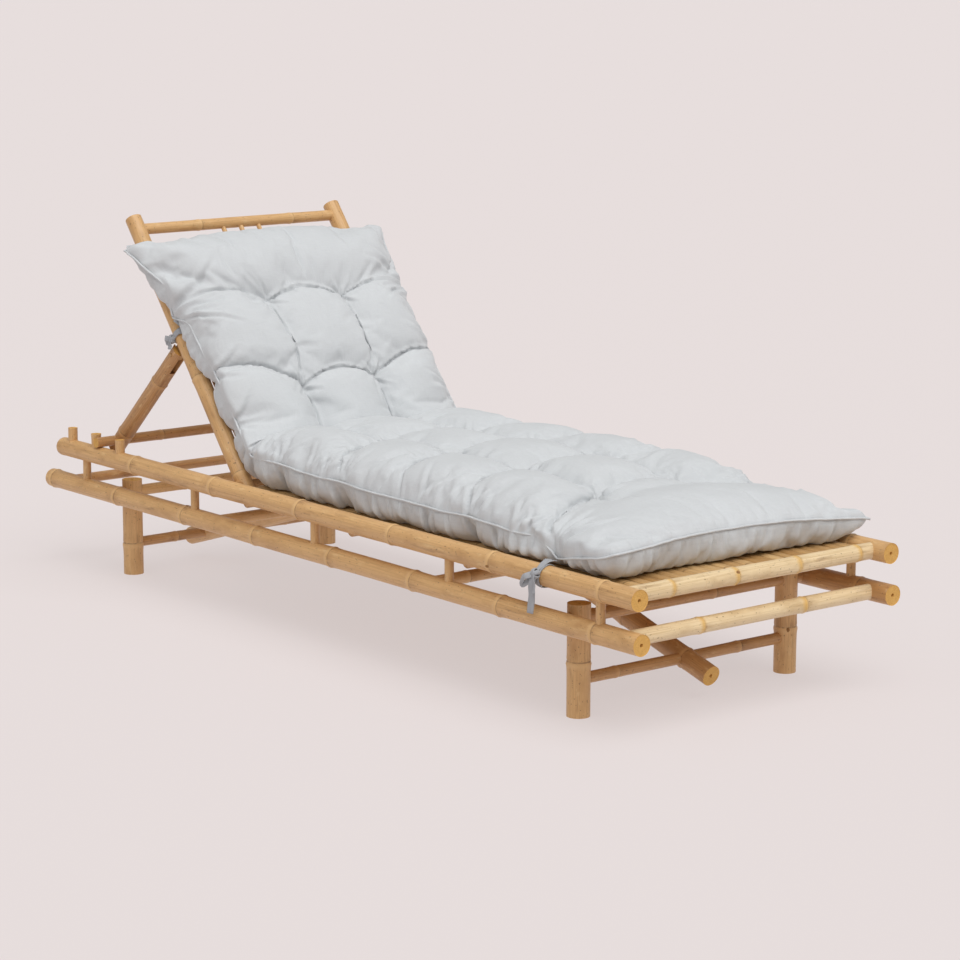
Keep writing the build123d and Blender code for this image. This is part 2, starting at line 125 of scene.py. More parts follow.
# Split strips. The section's points are shares of the strip's width and thickness.
STRIP_PITCH, STRIP_MARK_GAP = 0.0253, 0.21
STRIP_RISE = ((-0.49, -0.5), (-0.5, -0.2), (-0.49, 0.02), (-0.43, 0.26), (-0.28, 0.42))
STRIP_SECTION = (*STRIP_RISE, (0.0, 0.5), *((-side, height) for side, height in reversed(STRIP_RISE)))
STRIP_STEP, KNUCKLE_WIDTH, END_ROUND = 0.008, 0.005, 0.0015

# Where the pad lies, from the frame
BODY_OF = {node: body for body, nodes in frame["record"]["behaviour"]["bodies"].items() for node in nodes}
HINGE = Vector(frame["record"]["behaviour"]["joints"][0]["pos_m"])
DECK_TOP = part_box("seat_slats")[1][2]

# Each row along the cut pad, from the hinge towards the foot: where its two tufts lie, where its creases
# reach the sides, how deep the tufts are drawn and how high the creases rise between them
PAD_ROWS = (
    (-0.380, -0.406, 0.070, 0.096),
    (-0.172, -0.232, 0.066, 0.092),
    (0.000, 0.030, 0.046, 0.062),
    (0.270, 0.374, 0.080, 0.096),
    (0.485, 0.575, 0.082, 0.102),
    (0.715, 0.785, 0.082, 0.102),
    (0.937, 1.039, 0.074, 0.084),
)
SIDE_NOTCHES = (-0.406, -0.232, -0.112, 0.030, 0.151, 0.374, 0.785, 1.039)
SIDE_FOLDS = (0.095, 0.270, 0.320, 0.640, 0.930, 0.970)
HEAD_TIE, FOOT_TIE = -0.406, 1.039
SEAT_FROM = 0.1
CREASE_HOLD, CREASE_STEPS = 0.5, 80
ROW_BOW, HINGE_ROW_BOW, HINGE_ROW_HEIGHT, SIDE_BOW_SHARE = 0.026, 0.004, 0.07, 0.6
COLUMN_BOWS = (
    (0.012, 0.008), (0.009, 0.011), (-0.006, 0.004), (0.010, -0.008), (-0.009, 0.006), (0.008, 0.010),
)
# Profiles along the cut pad: places, and the value at each
SIDE_PLACES = (-0.578, -0.46, -0.36, -0.05, 0.12, 0.35, 0.85, 1.0, 1.215)
SIDE_WIDTHS = (0.310, 0.306, 0.291, 0.288, 0.298, 0.300, 0.300, 0.306, 0.310)
CREST_PLACES = (-0.578, -0.47, -0.34, -0.2, -0.09, 0.1, 0.3, 0.5, 0.8, 0.93, 1.05, 1.215)
CREST_HEIGHTS = (0.076, 0.090, 0.108, 0.106, 0.088, 0.098, 0.104, 0.113, 0.115, 0.106, 0.088, 0.080)
SEAM_PLACES, SEAM_HEIGHTS = (-0.578, -0.46, 1.10, 1.215), (0.034, 0.060, 0.064, 0.058)
NEAR_SEAM_PLACES = (1.0, 1.039, 1.104, 1.176, 1.215)
NEAR_SEAM_HEIGHTS = (0.060, 0.016, 0.031, 0.043, 0.052)
EASE_PLACES, EASE_SHARES, EASE_FROM = (0.93, 1.0, 1.10, 1.16, 1.215), (1.0, 0.58, 0.62, 0.72, 0.95), 0.06
CORNER_ROUND, CORNER_OUT, CORNER_DROP, TIE_DROP = 0.052, 0.027, 0.018, 0.048
PILLOW_REACH, FADE_REACH, CROWN_REACH, BELOW_REACH = 0.055, 0.11, 0.10, 0.085
LEAST_CREST = 0.004
PAD_PITCH, COVER_THREAD, TAPE_THREAD, PIPING_RADIUS = 0.0075, 0.0016, 0.0012, 0.0023
HINGE_TANGENT, DECK_GAP = 0.05, 0.0003
# Where the pad rises over a rail or a stile: distance from the middle, width of the slope and rise
RAIL_EDGE, STILE_EDGE, PAD_GAP = (0.272, 0.016, 0.0115), (0.228, 0.014, 0.0090), 0.0004
# Width and height of the folds along the creases
CREASE_FOLD = (0.0055, 0.0065)
FOLD_REACH, UNDER_WEAVE = 0.26, 3.0

# How far each knot hangs below the side of its pole, its tails (drop, lean, share of the tape's width)
# and its loops (reach along the pole, drop)
FOOT_KNOT = {
    "knot_drop": -0.3, "tails": ((0.074, -0.10, 1.1), (0.036, 0.14, 0.9)), "loops": ((-0.026, 0.019),),
}
HEAD_KNOT = {
    "knot_drop": 0.75, "tails": ((0.026, 0.25, 0.9), (0.017, -0.3, 0.8)), "loops": ((0.010, 0.010),),
}
HEAD_KNOT_BELOW = 0.031
# Where a tie leaves the pad: from the middle, and above the deck or the front of the stiles
FOOT_TIE_EDGE, HEAD_TIE_EDGE = (0.297, 0.016), (0.284, 0.026)
TAPE_THICK, TAPE_GAP, TAPE_CURL = 0.0016, 0.0018, 0.066
TAPE_SECTION = (
    (-0.5, 0.0), (-0.42, 0.5), (0.0, 0.8), (0.42, 0.5),
    (0.5, 0.0), (0.42, -0.5), (0.0, -0.3), (-0.42, -0.5),
)

# Stage. Each light has the setting for its strength, its angle in degrees and its direction.
LIGHTS = {"soft_sun": ("key", 55.0, (-0.50, 0.02, -1.0)), "soft_fill": ("fill", 80.0, (-0.25, 0.65, -0.95))}
SKY_COLOUR = (1.0, 0.985, 0.975, 1.0)
FLOOR_HALF, FLOOR_SHADE, FLOOR_GLOW = 90.0, 0.26, 0.735
CAMERA_PLACE, CAMERA_YAW, CAMERA_PITCH, CAMERA_ROLL = (4.7256, -3.6583, 1.4350), 0.896, -0.189, 0.002
SENSOR_WIDTH, VIEW_END = 36.0, 400.0


def linear(hex_colour):
    """Linear RGBA from an sRGB hex value."""
    channels = [int(hex_colour[i:i + 2], 16) / 255 for i in (1, 3, 5)]
    return (*[c / 12.92 if c <= 0.04045 else ((c + 0.055) / 1.055) ** 2.4 for c in channels], 1.0)


def number(name, description, default, **more):
    """A setting that is a number."""
    return bpy.props.FloatProperty(name=name, description=description, default=default, **more)


def size(name, description, default):
    """A setting that is a length in metres."""
    return number(name, description, default, unit="LENGTH")


def colour(name, description, default):
    """A setting that is a colour, given as an sRGB hex value."""
    return bpy.props.FloatVectorProperty(
        name=name, description=description, default=linear(default)[:3], subtype="COLOR")


class LoungerBamboo(bpy.types.PropertyGroup):
    """Sizes and colours of the bamboo."""
    ring_spacing: size("Node spacing", "Distance between the nodes of a culm", 0.29)
    ridge: size("Node ridge", "How far a node stands proud of the culm", 0.0016)
    sway: size("Sway", "How far a culm wanders from a straight line", 0.0014)
    honey: colour("Honey", "Colour of the culms", "#D9AE77")
    shade: colour("Shade", "Colour of the darker streaks", "#A77845")
    straw: colour("Straw", "Colour of the paler foot rails", "#E7CFA6")
    # Browner culm colour: partly the culms' own tone, partly painted shade for the low, under and far
    # poles.
    brown: colour("Brown", "Colour of the browner culms", "#C3935F")


class LoungerPad(bpy.types.PropertyGroup):
    """Sizes and colours of the tufted pad."""
    head_reach: size("Head reach", "Cut length from the hinge to the head edge", 0.578)
    foot_reach: size("Foot reach", "Cut length from the hinge to the foot edge", 1.215)
    half_width: size("Half width", "Half of the cut width", 0.337)
    tuft_y: size("Tuft offset", "Distance of the tufts from the middle", 0.112)
    pressure: number("Stuffing", "Pressure that fills the pad", 4.0)
    slack: number("Slack", "How much longer the cover is than the filling", 0.08, subtype="FACTOR")
    gather: number("Gather", "How much the seam draws the panels up", 0.05, subtype="FACTOR")
    frames: bpy.props.IntProperty(
        name="Frames", description="Steps that the cloth takes to settle", default=22)
    cloth: colour("Cloth", "Colour of the cover", "#CBCED0")
    tape_width: size("Tie width", "Width of the fabric ties", 0.013)
    tape: colour("Tape", "Colour of the ties", "#A3A5A9")


class LoungerStage(bpy.types.PropertyGroup):
    """Floor, light and camera."""
    floor: colour("Floor", "Colour of the floor", "#E4DBDA")
    sky: number("Sky", "Strength of the even light", 0.38)
    key: number("Key", "Strength of the soft sun", 2.05)
    fill: number("Fill", "Strength of the light from the near side", 0.50)
    lens: number("Lens", "Focal length in millimetres on a 36 mm sensor", 110.55)


class Graph:
    """Short calls that add nodes to a tree. A value that is a socket is linked, and any other is set."""

    def __init__(self, tree):
        self.tree = tree

    def fill(self, node, values):
        """Links or sets the sockets of a node."""
        for key, value in values.items():
            if isinstance(value, bpy.types.NodeSocket):
                self.tree.links.new(value, node.inputs[key])
            else:
                node.inputs[key].default_value = value

    def node(self, kind, values=None, **settings):
        """A new node with its settings."""
        node = self.tree.nodes.new(kind)
        for name, value in settings.items():
            setattr(node, name, value)
        self.fill(node, values or {})
        return node

    def put(self, kind, values=None, **settings):
        """The first output of a new node."""
        return self.node(kind, values, **settings).outputs[0]

    def calc(self, operation, *values):
        """A sum of one or two numbers."""
        return self.put("ShaderNodeMath", dict(enumerate(values)), operation=operation)

    def vector(self, operation, *values):
        """A sum of two vectors."""
        return self.put("ShaderNodeVectorMath", dict(enumerate(values)), operation=operation)

    def scaled(self, vector, factor):
        """A vector times a number."""
        return self.put("ShaderNodeVectorMath", {0: vector, "Scale": factor}, operation="SCALE")

    def combine(self, *values):
        """A vector of up to three numbers."""
        return self.put("ShaderNodeCombineXYZ", dict(enumerate(values)))

    def ramp(self, value, low, high, first, last):
        """A value's place between low and high, laid out from first to last."""
        return self.put("ShaderNodeMapRange", dict(enumerate((value, low, high, first, last))))

    def noise(self, place, scale, detail, **more):
        """A cloudy noise."""
        return self.put("ShaderNodeTexNoise", {"Vector": place, "Scale": scale, "Detail": detail, **more})

    def mix(self, share, below, above):
        """A colour laid over another by a share."""
        values = {0: share, 6: below, 7: above}
        return self.node("ShaderNodeMix", values, data_type="RGBA").outputs[2]

    def bump(self, height, strength, distance, **more):
        """A normal that follows a height."""
        values = {"Height": height, "Strength": strength, "Distance": distance, **more}
        return self.put("ShaderNodeBump", values)

    def attribute(self, name, output):
        """A named attribute of the mesh."""
        return self.node("ShaderNodeAttribute", attribute_name=name).outputs[output]

    def stored(self, geometry, name, value, kind):
        """A geometry with a value stored under a name at each point."""
        values = {"Geometry": geometry, "Name": name, "Value": value}
        return self.put("GeometryNodeStoreNamedAttribute", values, data_type=kind, domain="POINT")

    def chance(self, most, seed):
        """A random number from zero to a limit."""
        values = {2: 0.0, 3: most, "Seed": seed}
        return self.node("FunctionNodeRandomValue", values, data_type="FLOAT").outputs[1]


def new_material(name):
    """An empty material, its graph and its shader, linked to the output."""
    material = bpy.data.materials.new(name)
    material.use_nodes = True
    graph = Graph(material.node_tree)
    graph.tree.nodes.clear()
    shader = graph.node("ShaderNodeBsdfPrincipled")
    graph.node("ShaderNodeOutputMaterial", {"Surface": shader.outputs[0]})
    return material, graph, shader


def new_tree(name, sockets):
    """The graph of an empty Geometry Nodes tree, and its named inputs."""
    tree = bpy.data.node_groups.new(name, "GeometryNodeTree")
    for label, kind in sockets.items():
        tree.interface.new_socket(name=label, in_out="INPUT", socket_type=f"NodeSocket{kind}")
    tree.interface.new_socket(name="Geometry", in_out="OUTPUT", socket_type="NodeSocketGeometry")
    graph = Graph(tree)
    return graph, graph.node("NodeGroupInput").outputs


def culm_material(name, body, streak, ring_hex, groove_hex):
    """Dried, oiled bamboo culm: long fibres, mottled tan, weather stains and a worn ring at each node."""
    material, graph, shader = new_material(name)
    grain = graph.attribute("grain", "Vector")
    ring = graph.attribute("ring", "Fac")

    def layer(kind):
        """A noise stretched along the culm, and its share above a threshold."""
        along, across, detail, low, high, most = CULM_LAYERS[kind]
        place = graph.vector("MULTIPLY", grain, (along, across, across))
        cloud = graph.noise(place, 1.0, detail, Roughness=0.6)
        return cloud, graph.ramp(cloud, low, high, 0.0, most)

    fibre, streaks = layer("fibres")
    mottle, patches = layer("mottling")
    worn, scuffs = layer("worn wax")
    weather, stains = layer("weather")
    specks = layer("specks")[1]
    base = graph.mix(graph.calc("MAXIMUM", streaks, patches), (*body, 1.0), (*streak, 1.0))
    for share, tint in ((scuffs, "#EBCF9E"), (stains, "#7E5430"), (specks, "#5E3D20")):
        base = graph.mix(share, base, linear(tint))
    # The node: an uneven, paler band 16 mm wide, a brown stain past it and a broken line beside the ridge.
    place = graph.calc("ADD", ring, graph.calc("MULTIPLY", graph.calc("SUBTRACT", mottle, 0.5), RING_WAVER))
    band = graph.ramp(graph.calc("ABSOLUTE", place), 0.001, 0.009, 0.7, 0.0)
    base = graph.mix(band, base, linear(ring_hex))
    past = graph.calc("MULTIPLY", graph.ramp(place, 0.030, 0.006, 0.0, 1.0),
                      graph.calc("GREATER_THAN", place, 0.004))
    dirt = graph.calc("MULTIPLY", past, graph.ramp(weather, 0.44, 0.66, 0.0, 0.55))
    base = graph.mix(dirt, base, linear("#8A6038"))
    beside = graph.calc("ABSOLUTE", graph.calc("SUBTRACT", ring, GROOVE_PLACE))
    line = graph.calc("MULTIPLY", graph.ramp(beside, 0.0004, 0.0020, 1.0, 0.0),
                      graph.ramp(worn, 0.40, 0.62, 0.12, 0.6))
    graph.fill(shader, {
        "Base Color": graph.mix(line, base, linear(groove_hex)),
        "Roughness": graph.ramp(worn, 0.3, 0.7, 0.34, 0.6),
        "Normal": graph.bump(graph.calc("ADD", fibre, worn), 0.3, 0.0008),
        "Coat Weight": 0.1, "Coat Roughness": 0.35,
    })
    return material


def end_grain_material():
    """Sawn bamboo end: golden, with dark fibre bundles about 1.5 mm apart."""
    material, graph, shader = new_material("sawn_bamboo_end")
    place = graph.node("ShaderNodeTexCoord").outputs["Object"]
    bundles = graph.node("ShaderNodeTexVoronoi", {"Vector": place, "Scale": 620.0}).outputs["Distance"]
    gold = graph.mix(graph.noise(place, 90.0, 3.0), linear("#E2B262"), linear("#C8964A"))
    graph.fill(shader, {
        "Base Color": graph.mix(graph.ramp(bundles, 0.1, 0.45, 0.75, 0.0), gold, linear("#A2733A")),
        "Normal": graph.bump(bundles, 0.3, 0.0005), "Roughness": 0.7,
    })
    return material


def bud_scar_material():
    """Bud scar: a dark, dry, corky spot at a node."""
    material, graph, shader = new_material("bamboo_bud_scar")
    cork = graph.noise(graph.node("ShaderNodeTexCoord").outputs["Object"], 900.0, 2.0)
    brown = graph.mix(cork, linear("#7A5330"), linear("#A87C48"))
    graph.fill(shader, {"Base Color": brown, "Roughness": 0.8})
    return material


def split_bamboo_material():
    """Split bamboo slats: each strip its own tint, with long fibres and faint node lines across."""
    material, graph, shader = new_material("split_bamboo")
    place = graph.node("ShaderNodeTexCoord").outputs["Object"]
    apart = graph.node("ShaderNodeSeparateXYZ", {0: place}).outputs
    strip = graph.calc("ROUND", graph.calc("DIVIDE", apart[1], STRIP_PITCH))
    tint = graph.node("ShaderNodeTexWhiteNoise", {"W": strip}, noise_dimensions="1D").outputs["Value"]
    fibre = graph.noise(graph.vector("MULTIPLY", place, (8.0, 480.0, 8.0)), 1.0, 4.0)
    # Node lines at even steps along a strip, shifted at random from strip to strip.
    along = graph.calc("ADD", graph.calc("DIVIDE", apart[0], STRIP_MARK_GAP), tint)
    away = graph.calc("ABSOLUTE", graph.calc("SUBTRACT", graph.calc("FRACT", along), 0.5))
    base = graph.mix(tint, linear("#D6B17C"), linear("#B0854F"))
    base = graph.mix(graph.ramp(fibre, 0.45, 0.75, 0.0, 0.6), base, linear("#7A5330"))
    graph.fill(shader, {
        "Base Color": graph.mix(graph.ramp(away, 0.003, 0.014, 0.5, 0.0), base, linear("#5F3E22")),
        "Normal": graph.bump(fibre, 0.25, 0.0008), "Roughness": 0.48,
    })
    return material


def cover_material(name, tint, thread):
    """Plain-woven cotton: matt, with a slubby over-and-under weave and a soft nap."""
    material, graph, shader = new_material(name)
    place = graph.attribute("weave", "Vector")
    fine, long = 1 / thread, 0.06 / thread
    threads = [graph.noise(graph.vector("MULTIPLY", place, stretch), 1.0, 2.0)
               for stretch in ((fine, long, 1.0), (long, fine, 1.0))]
    weave = graph.calc("ADD", *threads)
    worn = graph.ramp(graph.noise(place, 9.0, 3.0), 0.35, 0.7, 0.0, 0.08)
    shade = graph.calc("ADD", graph.ramp(weave, 0.7, 1.3, 0.0, 0.16), worn)
    dark = [c * 0.62 for c in tint]
    # Rumples 20 to 80 mm long, as cloth keeps after packing.
    crumple = graph.noise(place, 15.0, 5.0, Roughness=0.58, Distortion=1.4)
    graph.fill(shader, {
        "Base Color": graph.mix(shade, (*tint, 1.0), (*dark, 1.0)),
        "Normal": graph.bump(weave, 0.22, 0.0006, Normal=graph.bump(crumple, 0.32, 0.008)),
        "Roughness": 0.92, "Sheen Weight": 0.25, "Sheen Roughness": 0.5,
    })
    return material


def placed(name, mesh):
    """An object of a mesh, in the scene."""
    piece = bpy.data.objects.new(name, mesh)
    bpy.context.scene.collection.objects.link(piece)
    return piece


def baked(piece):
    """A plain mesh of a piece with its modifiers applied."""
    graph = bpy.context.evaluated_depsgraph_get()
    return bpy.data.meshes.new_from_object(piece.evaluated_get(graph), depsgraph=graph)


def grown(tree, mesh, values):
    """A plain mesh of what a tree makes of a mesh with these named inputs."""
    holder = placed(mesh.name, mesh)
    modifier = holder.modifiers.new("Shape", "NODES")
    modifier.node_group = tree
    keys = {item.name: item.identifier for item in tree.interface.items_tree if item.in_out == "INPUT"}
    for label, value in values.items():
        modifier[keys[label]] = value
    result = baked(holder)
    bpy.data.objects.remove(holder)
    return result


def faced_out(work, mesh):
    """Turns all faces outwards and writes the work to a mesh."""
    bmesh.ops.recalc_face_normals(work, faces=work.faces)
    work.to_mesh(mesh)
    work.free()


def merged(meshes, name):
    """One object of several meshes, each with its own materials kept."""
    objects = [placed(name, mesh) for mesh in meshes]
    if len(objects) > 1:
        with bpy.context.temp_override(active_object=objects[0], selected_editable_objects=objects):
            bpy.ops.object.join()
    return objects[0]


def rows_of(items, key, kind=float):
    """Three numbers of each item, a row for each."""
    values = np.empty(len(items) * 3, kind)
    items.foreach_get(key, values)
    return values.reshape(-1, 3)


def solid_points(node):
    """The corner points of each loose solid in a CAD node, one array for each."""
    mesh = frame["nodes"][node].data
    points = np.array([v.co for v in mesh.vertices])
    keys = [tuple(p) for p in np.round(points * 1e5).astype(int)]
    parent = {key: key for key in keys}

    def root(key):
        while parent[key] != key:
            parent[key] = parent[parent[key]]
            key = parent[key]
        return key

    for polygon in mesh.polygons:
        first = root(keys[polygon.vertices[0]])
        for vertex in polygon.vertices[1:]:
            parent[root(keys[vertex])] = first
    groups = {}
    for index, key in enumerate(keys):
        groups.setdefault(root(key), []).append(index)
    return [points[rows] for rows in groups.values()]


def across_axis(points, axis):
    """Two directions square to an axis, and the points' spread along each."""
    side = Vector(axis).orthogonal().normalized()
    other = Vector(axis).cross(side)
    spreads = [points @ np.array(direction) for direction in (side, other)]
    return side, other, [(float(spread.min()), float(spread.max())) for spread in spreads]


def pole_line(points):
    """Start, end and radius of the round pole that a solid's points belong to."""
    centred = points - points.mean(axis=0)
    axis = Vector(np.linalg.svd(centred, full_matrices=False)[2][0]).normalized()
    step = FIRST_TILT
    while step > LAST_TILT:
        side, other, spans = across_axis(points, axis)
        best = max(high - low for low, high in spans)
        moved = False
        for tilt in (side, -side, other, -other):
            tried = (axis + tilt * step).normalized()
            width = max(high - low for low, high in across_axis(points, tried)[2])
            if width < best - 1e-7:
                axis, best, moved = tried, width, True
        if not moved:
            step /= 2
    if max(axis, key=abs) < 0:
        axis = -axis
    side, other, spans = across_axis(points, axis)
    centre = side * (sum(spans[0]) / 2) + other * (sum(spans[1]) / 2)
    along = points @ np.array(axis)
    radius = min(high - low for low, high in spans) / 2
    return centre + axis * float(along.min()), centre + axis * float(along.max()), radius


def culm_tree():
    """Geometry Nodes tree of one culm along +X: a swaying line, swept with a ridge at each node."""
    numbers = ("Length", "Radius", "Node Spacing", "First Node", "Ridge", "Sway", "Shift", "Step",
               "Scar Share")
    graph, given = new_tree("Bamboo culm", {
        **dict.fromkeys(numbers, "Float"), **dict.fromkeys(("Scar Count", "Seed"), "Int"),
        **dict.fromkeys(("Skin", "Scar"), "Material"),
    })
    spacing, first, shift = given["Node Spacing"], given["First Node"], given["Shift"]
    line = graph.put("GeometryNodeCurvePrimitiveLine", {"End": graph.combine(given["Length"])})
    fine = graph.put("GeometryNodeResampleCurve", {"Curve": line, "Length": given["Step"]}, mode="LENGTH")
    spline = graph.node("GeometryNodeSplineParameter").outputs
    # Distance to the nearest node, signed along the culm.
    past = graph.calc("SUBTRACT", spline["Length"], first)
    nearest = graph.calc("ROUND", graph.calc("DIVIDE", past, spacing))
    ring = graph.calc("SUBTRACT", past, graph.calc("MULTIPLY", nearest, spacing))
    ringed = graph.stored(fine, "ring", ring, "FLOAT")
    # Sway, nothing at the ends and most in the middle.
    swell = graph.calc("SINE", graph.calc("MULTIPLY", spline["Factor"], math.pi))
    sample = graph.combine(graph.calc("ADD", spline["Length"], shift), shift)
    noise = graph.node("ShaderNodeTexNoise", {"Vector": sample, "Scale": 3.0, "Detail": 1.0})
    centred = graph.vector("SUBTRACT", noise.outputs["Color"], (0.5, 0.5, 0.5))
    flat = graph.vector("MULTIPLY", centred, (0.0, 2.0, 2.0))
    offset = graph.scaled(flat, graph.calc("MULTIPLY", swell, given["Sway"]))
    swayed = graph.put("GeometryNodeSetPosition", {"Geometry": ringed, "Offset": offset})
    # Radius: a broad swelling at the node, a fine ridge on it and a groove beside it.
    radius = given["Radius"]
    for centre, width, share in NODE_SWELLS:
        away = graph.calc("DIVIDE", graph.calc("SUBTRACT", ring, centre), width)
        bell = graph.calc("EXPONENT", graph.calc("MULTIPLY", graph.calc("MULTIPLY", away, away), -1.0))
        bump = graph.calc("MULTIPLY", bell, graph.calc("MULTIPLY", given["Ridge"], share))
        radius = graph.calc("ADD", radius, bump)
    profile = graph.put("GeometryNodeCurvePrimitiveCircle", {"Resolution": CULM_SIDES, "Radius": 1.0})
    swept = graph.put("GeometryNodeCurveToMesh",
                      {"Curve": swayed, "Profile Curve": profile, "Scale": radius, "Fill Caps": True})
    # Grain coordinates stay with the culm, so the fibres follow it wherever it is laid.
    here = graph.put("GeometryNodeInputPosition")
    grain = graph.vector("ADD", here, graph.combine(shift, shift, shift))
    grained = graph.stored(swept, "grain", grain, "FLOAT_VECTOR")
    smooth = graph.put("GeometryNodeSetShadeSmooth", {"Geometry": grained})
    # Bud scars: a flattened button on some of the nodes, at a random turn round the culm.
    index = graph.put("GeometryNodeInputIndex")
    scar_x = graph.calc("ADD", graph.calc("MULTIPLY", index, spacing), first)
    turn = graph.chance(2 * math.pi, given["Seed"])
    outward = graph.combine(0.0, graph.calc("COSINE", turn), graph.calc("SINE", turn))
    spot = graph.vector("ADD", graph.scaled(outward, given["Radius"]), graph.combine(scar_x))
    points = graph.put("GeometryNodePoints", {"Count": given["Scar Count"], "Position": spot})
    chance = graph.chance(1.0, graph.calc("ADD", given["Seed"], SCAR_SEED_STEP))
    keep = graph.calc("LESS_THAN", chance, given["Scar Share"])
    facing = graph.put("FunctionNodeAlignRotationToVector", {"Vector": outward}, axis="Z")
    button = graph.put("GeometryNodeMeshUVSphere", {"Segments": 10, "Rings": 6, "Radius": 1.0})
    pressed = graph.put("GeometryNodeTransform", {"Geometry": button, "Scale": SCAR_SIZE})
    scars = graph.put("GeometryNodeInstanceOnPoints",
                      {"Points": points, "Instance": pressed, "Selection": keep, "Rotation": facing})
    both = graph.node("GeometryNodeJoinGeometry")
    for part, material in ((smooth, "Skin"), (scars, "Scar")):
        finished = graph.put("GeometryNodeSetMaterial", {"Geometry": part, "Material": given[material]})
        graph.fill(both, {0: finished})
    real = graph.put("GeometryNodeRealizeInstances", {"Geometry": both.outputs[0]})
    graph.node("NodeGroupOutput", {0: real})
    return graph.tree


def sawn_ends(mesh, length, radius, end_material):
    """Turns the flat caps into sawn ends: a worn rim, end grain and the hollow of the pith."""
    slot = len(mesh.materials)
    mesh.materials.append(end_material)
    work = bmesh.new()
    work.from_mesh(mesh)
    for cap in [face for face in work.faces if len(face.verts) == CULM_SIDES]:
        outward = -1.0 if cap.calc_center_median().x < length / 2 else 1.0
        cap.material_index = slot
        cap.smooth = False
        outer = list(cap.verts)
        rim = bmesh.ops.inset_region(work, faces=[cap], thickness=min(RIM, radius * 0.12), depth=0.0)
        for face in rim["faces"]:
            face.material_index = slot
            face.smooth = True
        bmesh.ops.translate(work, verts=outer, vec=(-outward * RIM_BEVEL, 0.0, 0.0))
        if radius > THIN_POLE:
            for inset in (radius - PITH_RADIUS, RIM):
                bmesh.ops.inset_region(work, faces=[cap], thickness=inset, depth=0.0)
            bmesh.ops.translate(work, verts=cap.verts, vec=(-outward * PITH_DEPTH, 0.0, 0.0))
    faced_out(work, mesh)


def laid(mesh, start, end):
    """Moves a mesh made along +X so that it runs from start to end."""
    turn = Vector((1.0, 0.0, 0.0)).rotation_difference((end - start).normalized())
    mesh.transform(Matrix.Translation(start) @ turn.to_matrix().to_4x4())


def forked(piece, tongue):
    """Saws the slot in a strut's upper end, where the tongue enters."""
    low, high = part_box(tongue)
    pin = Vector(frame["record"]["behaviour"]["joints"][1]["pos_m"])
    work = bmesh.new()
    bmesh.ops.create_cube(work, size=1.0)
    bmesh.ops.scale(work, verts=work.verts, vec=(SLOT_SIZE, high[1] - low[1] + SLOT_PLAY, SLOT_SIZE))
    bmesh.ops.translate(work, verts=work.verts, vec=(pin.x, (low[1] + high[1]) / 2, pin.z))
    mesh = bpy.data.meshes.new("slot")
    work.to_mesh(mesh)
    work.free()
    saw = placed("slot", mesh)
    cut = piece.modifiers.new("Slot", "BOOLEAN")
    cut.operation = "DIFFERENCE"
    cut.solver = "EXACT"
    cut.use_self = True
    cut.object = saw
    piece.data = baked(piece)
    piece.modifiers.clear()
    bpy.data.objects.remove(saw)


def culm_piece(tree, node, number, settings, materials, spacing):
    """Lays the culms that stand for one CAD node where its solids are."""
    meshes = []
    for part, points in enumerate(solid_points(node)):
        start, end, radius = pole_line(points)
        length = (end - start).length
        dice = random.Random(1000 * number + part)
        pitch = spacing * dice.uniform(0.9, 1.1)
        begin, pitch = NODE_PLACES.get(node, (dice.uniform(0.25, 0.75) * pitch, pitch))
        mesh = grown(tree, bpy.data.meshes.new(node), {
            "Length": length, "Radius": radius, "Node Spacing": pitch, "First Node": begin,
            "Ridge": settings.ridge * min(1.0, radius / FULL_RIDGE_RADIUS),
            "Sway": settings.sway * min(1.0, length),
            "Shift": 1.7 * number + 0.31 * part,
            "Step": FINE_STEP if radius > DOWEL_RADIUS else COARSE_STEP,
            "Scar Share": SCAR_SHARE if radius > THIN_POLE else 0.0,
            "Scar Count": max(0, math.floor((length - begin) / pitch) + 1), "Seed": number,
            "Skin": materials["skin"], "Scar": materials["scar"],
        })
        sawn_ends(mesh, length, radius, materials["end"])
        laid(mesh, start, end)
        meshes.append(mesh)
    piece = merged(meshes, f"culm_{node}")
    if node.endswith("_prop_strut"):
        forked(piece, node.replace("strut", "tongue"))
    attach(piece, BODY_OF[node])
    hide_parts(node)


class LOUNGER_OT_culms(bpy.types.Operator):
    """Dresses every round pole with a bamboo culm."""
    bl_idname = "lounger.culms"
    bl_label = "Bamboo culms"

    def execute(self, context):
        settings = context.scene.lounger_bamboo
        tree = culm_tree()
        shared = {"end": end_grain_material(), "scar": bud_scar_material()}
        # The third finish is a browner copy of the culm finish. It is partly the culms' own tone and partly
        # painted shade, and it goes on the low, under and far poles.
        honey, straw, brown = [{**shared, "skin": culm_material(*look)} for look in (
            ("oiled_bamboo_culm", settings.honey, settings.shade, "#DDB57F", "#6B4828"),
            ("straw_bamboo_culm", settings.straw, linear("#B18B52")[:3], "#D6A548", "#A8792F"),
            ("weathered_bamboo_culm", settings.brown, linear("#85592F")[:3], "#C79A66", "#5A3B20"),
        )]
        plain = {**honey, "end": honey["skin"]}
        for number, node in enumerate(HONEY_POLES):
            # Low, under and far poles get the browner finish with its painted shade.
            finish = brown if node in BROWN_SHADED_POLES else plain if node.startswith("deck_bar") else honey
            culm_piece(tree, node, number, settings, finish, settings.ring_spacing)
        for number, node in enumerate(DOWELS, len(HONEY_POLES)):
            culm_piece(tree, node, number, settings, honey, DOWEL_SPACING)
        for number, node in enumerate(STRAW_POLES, len(HONEY_POLES) + len(DOWELS)):
            culm_piece(tree, node, number, settings, straw, STRAW_SPACING)
        return {"FINISHED"}


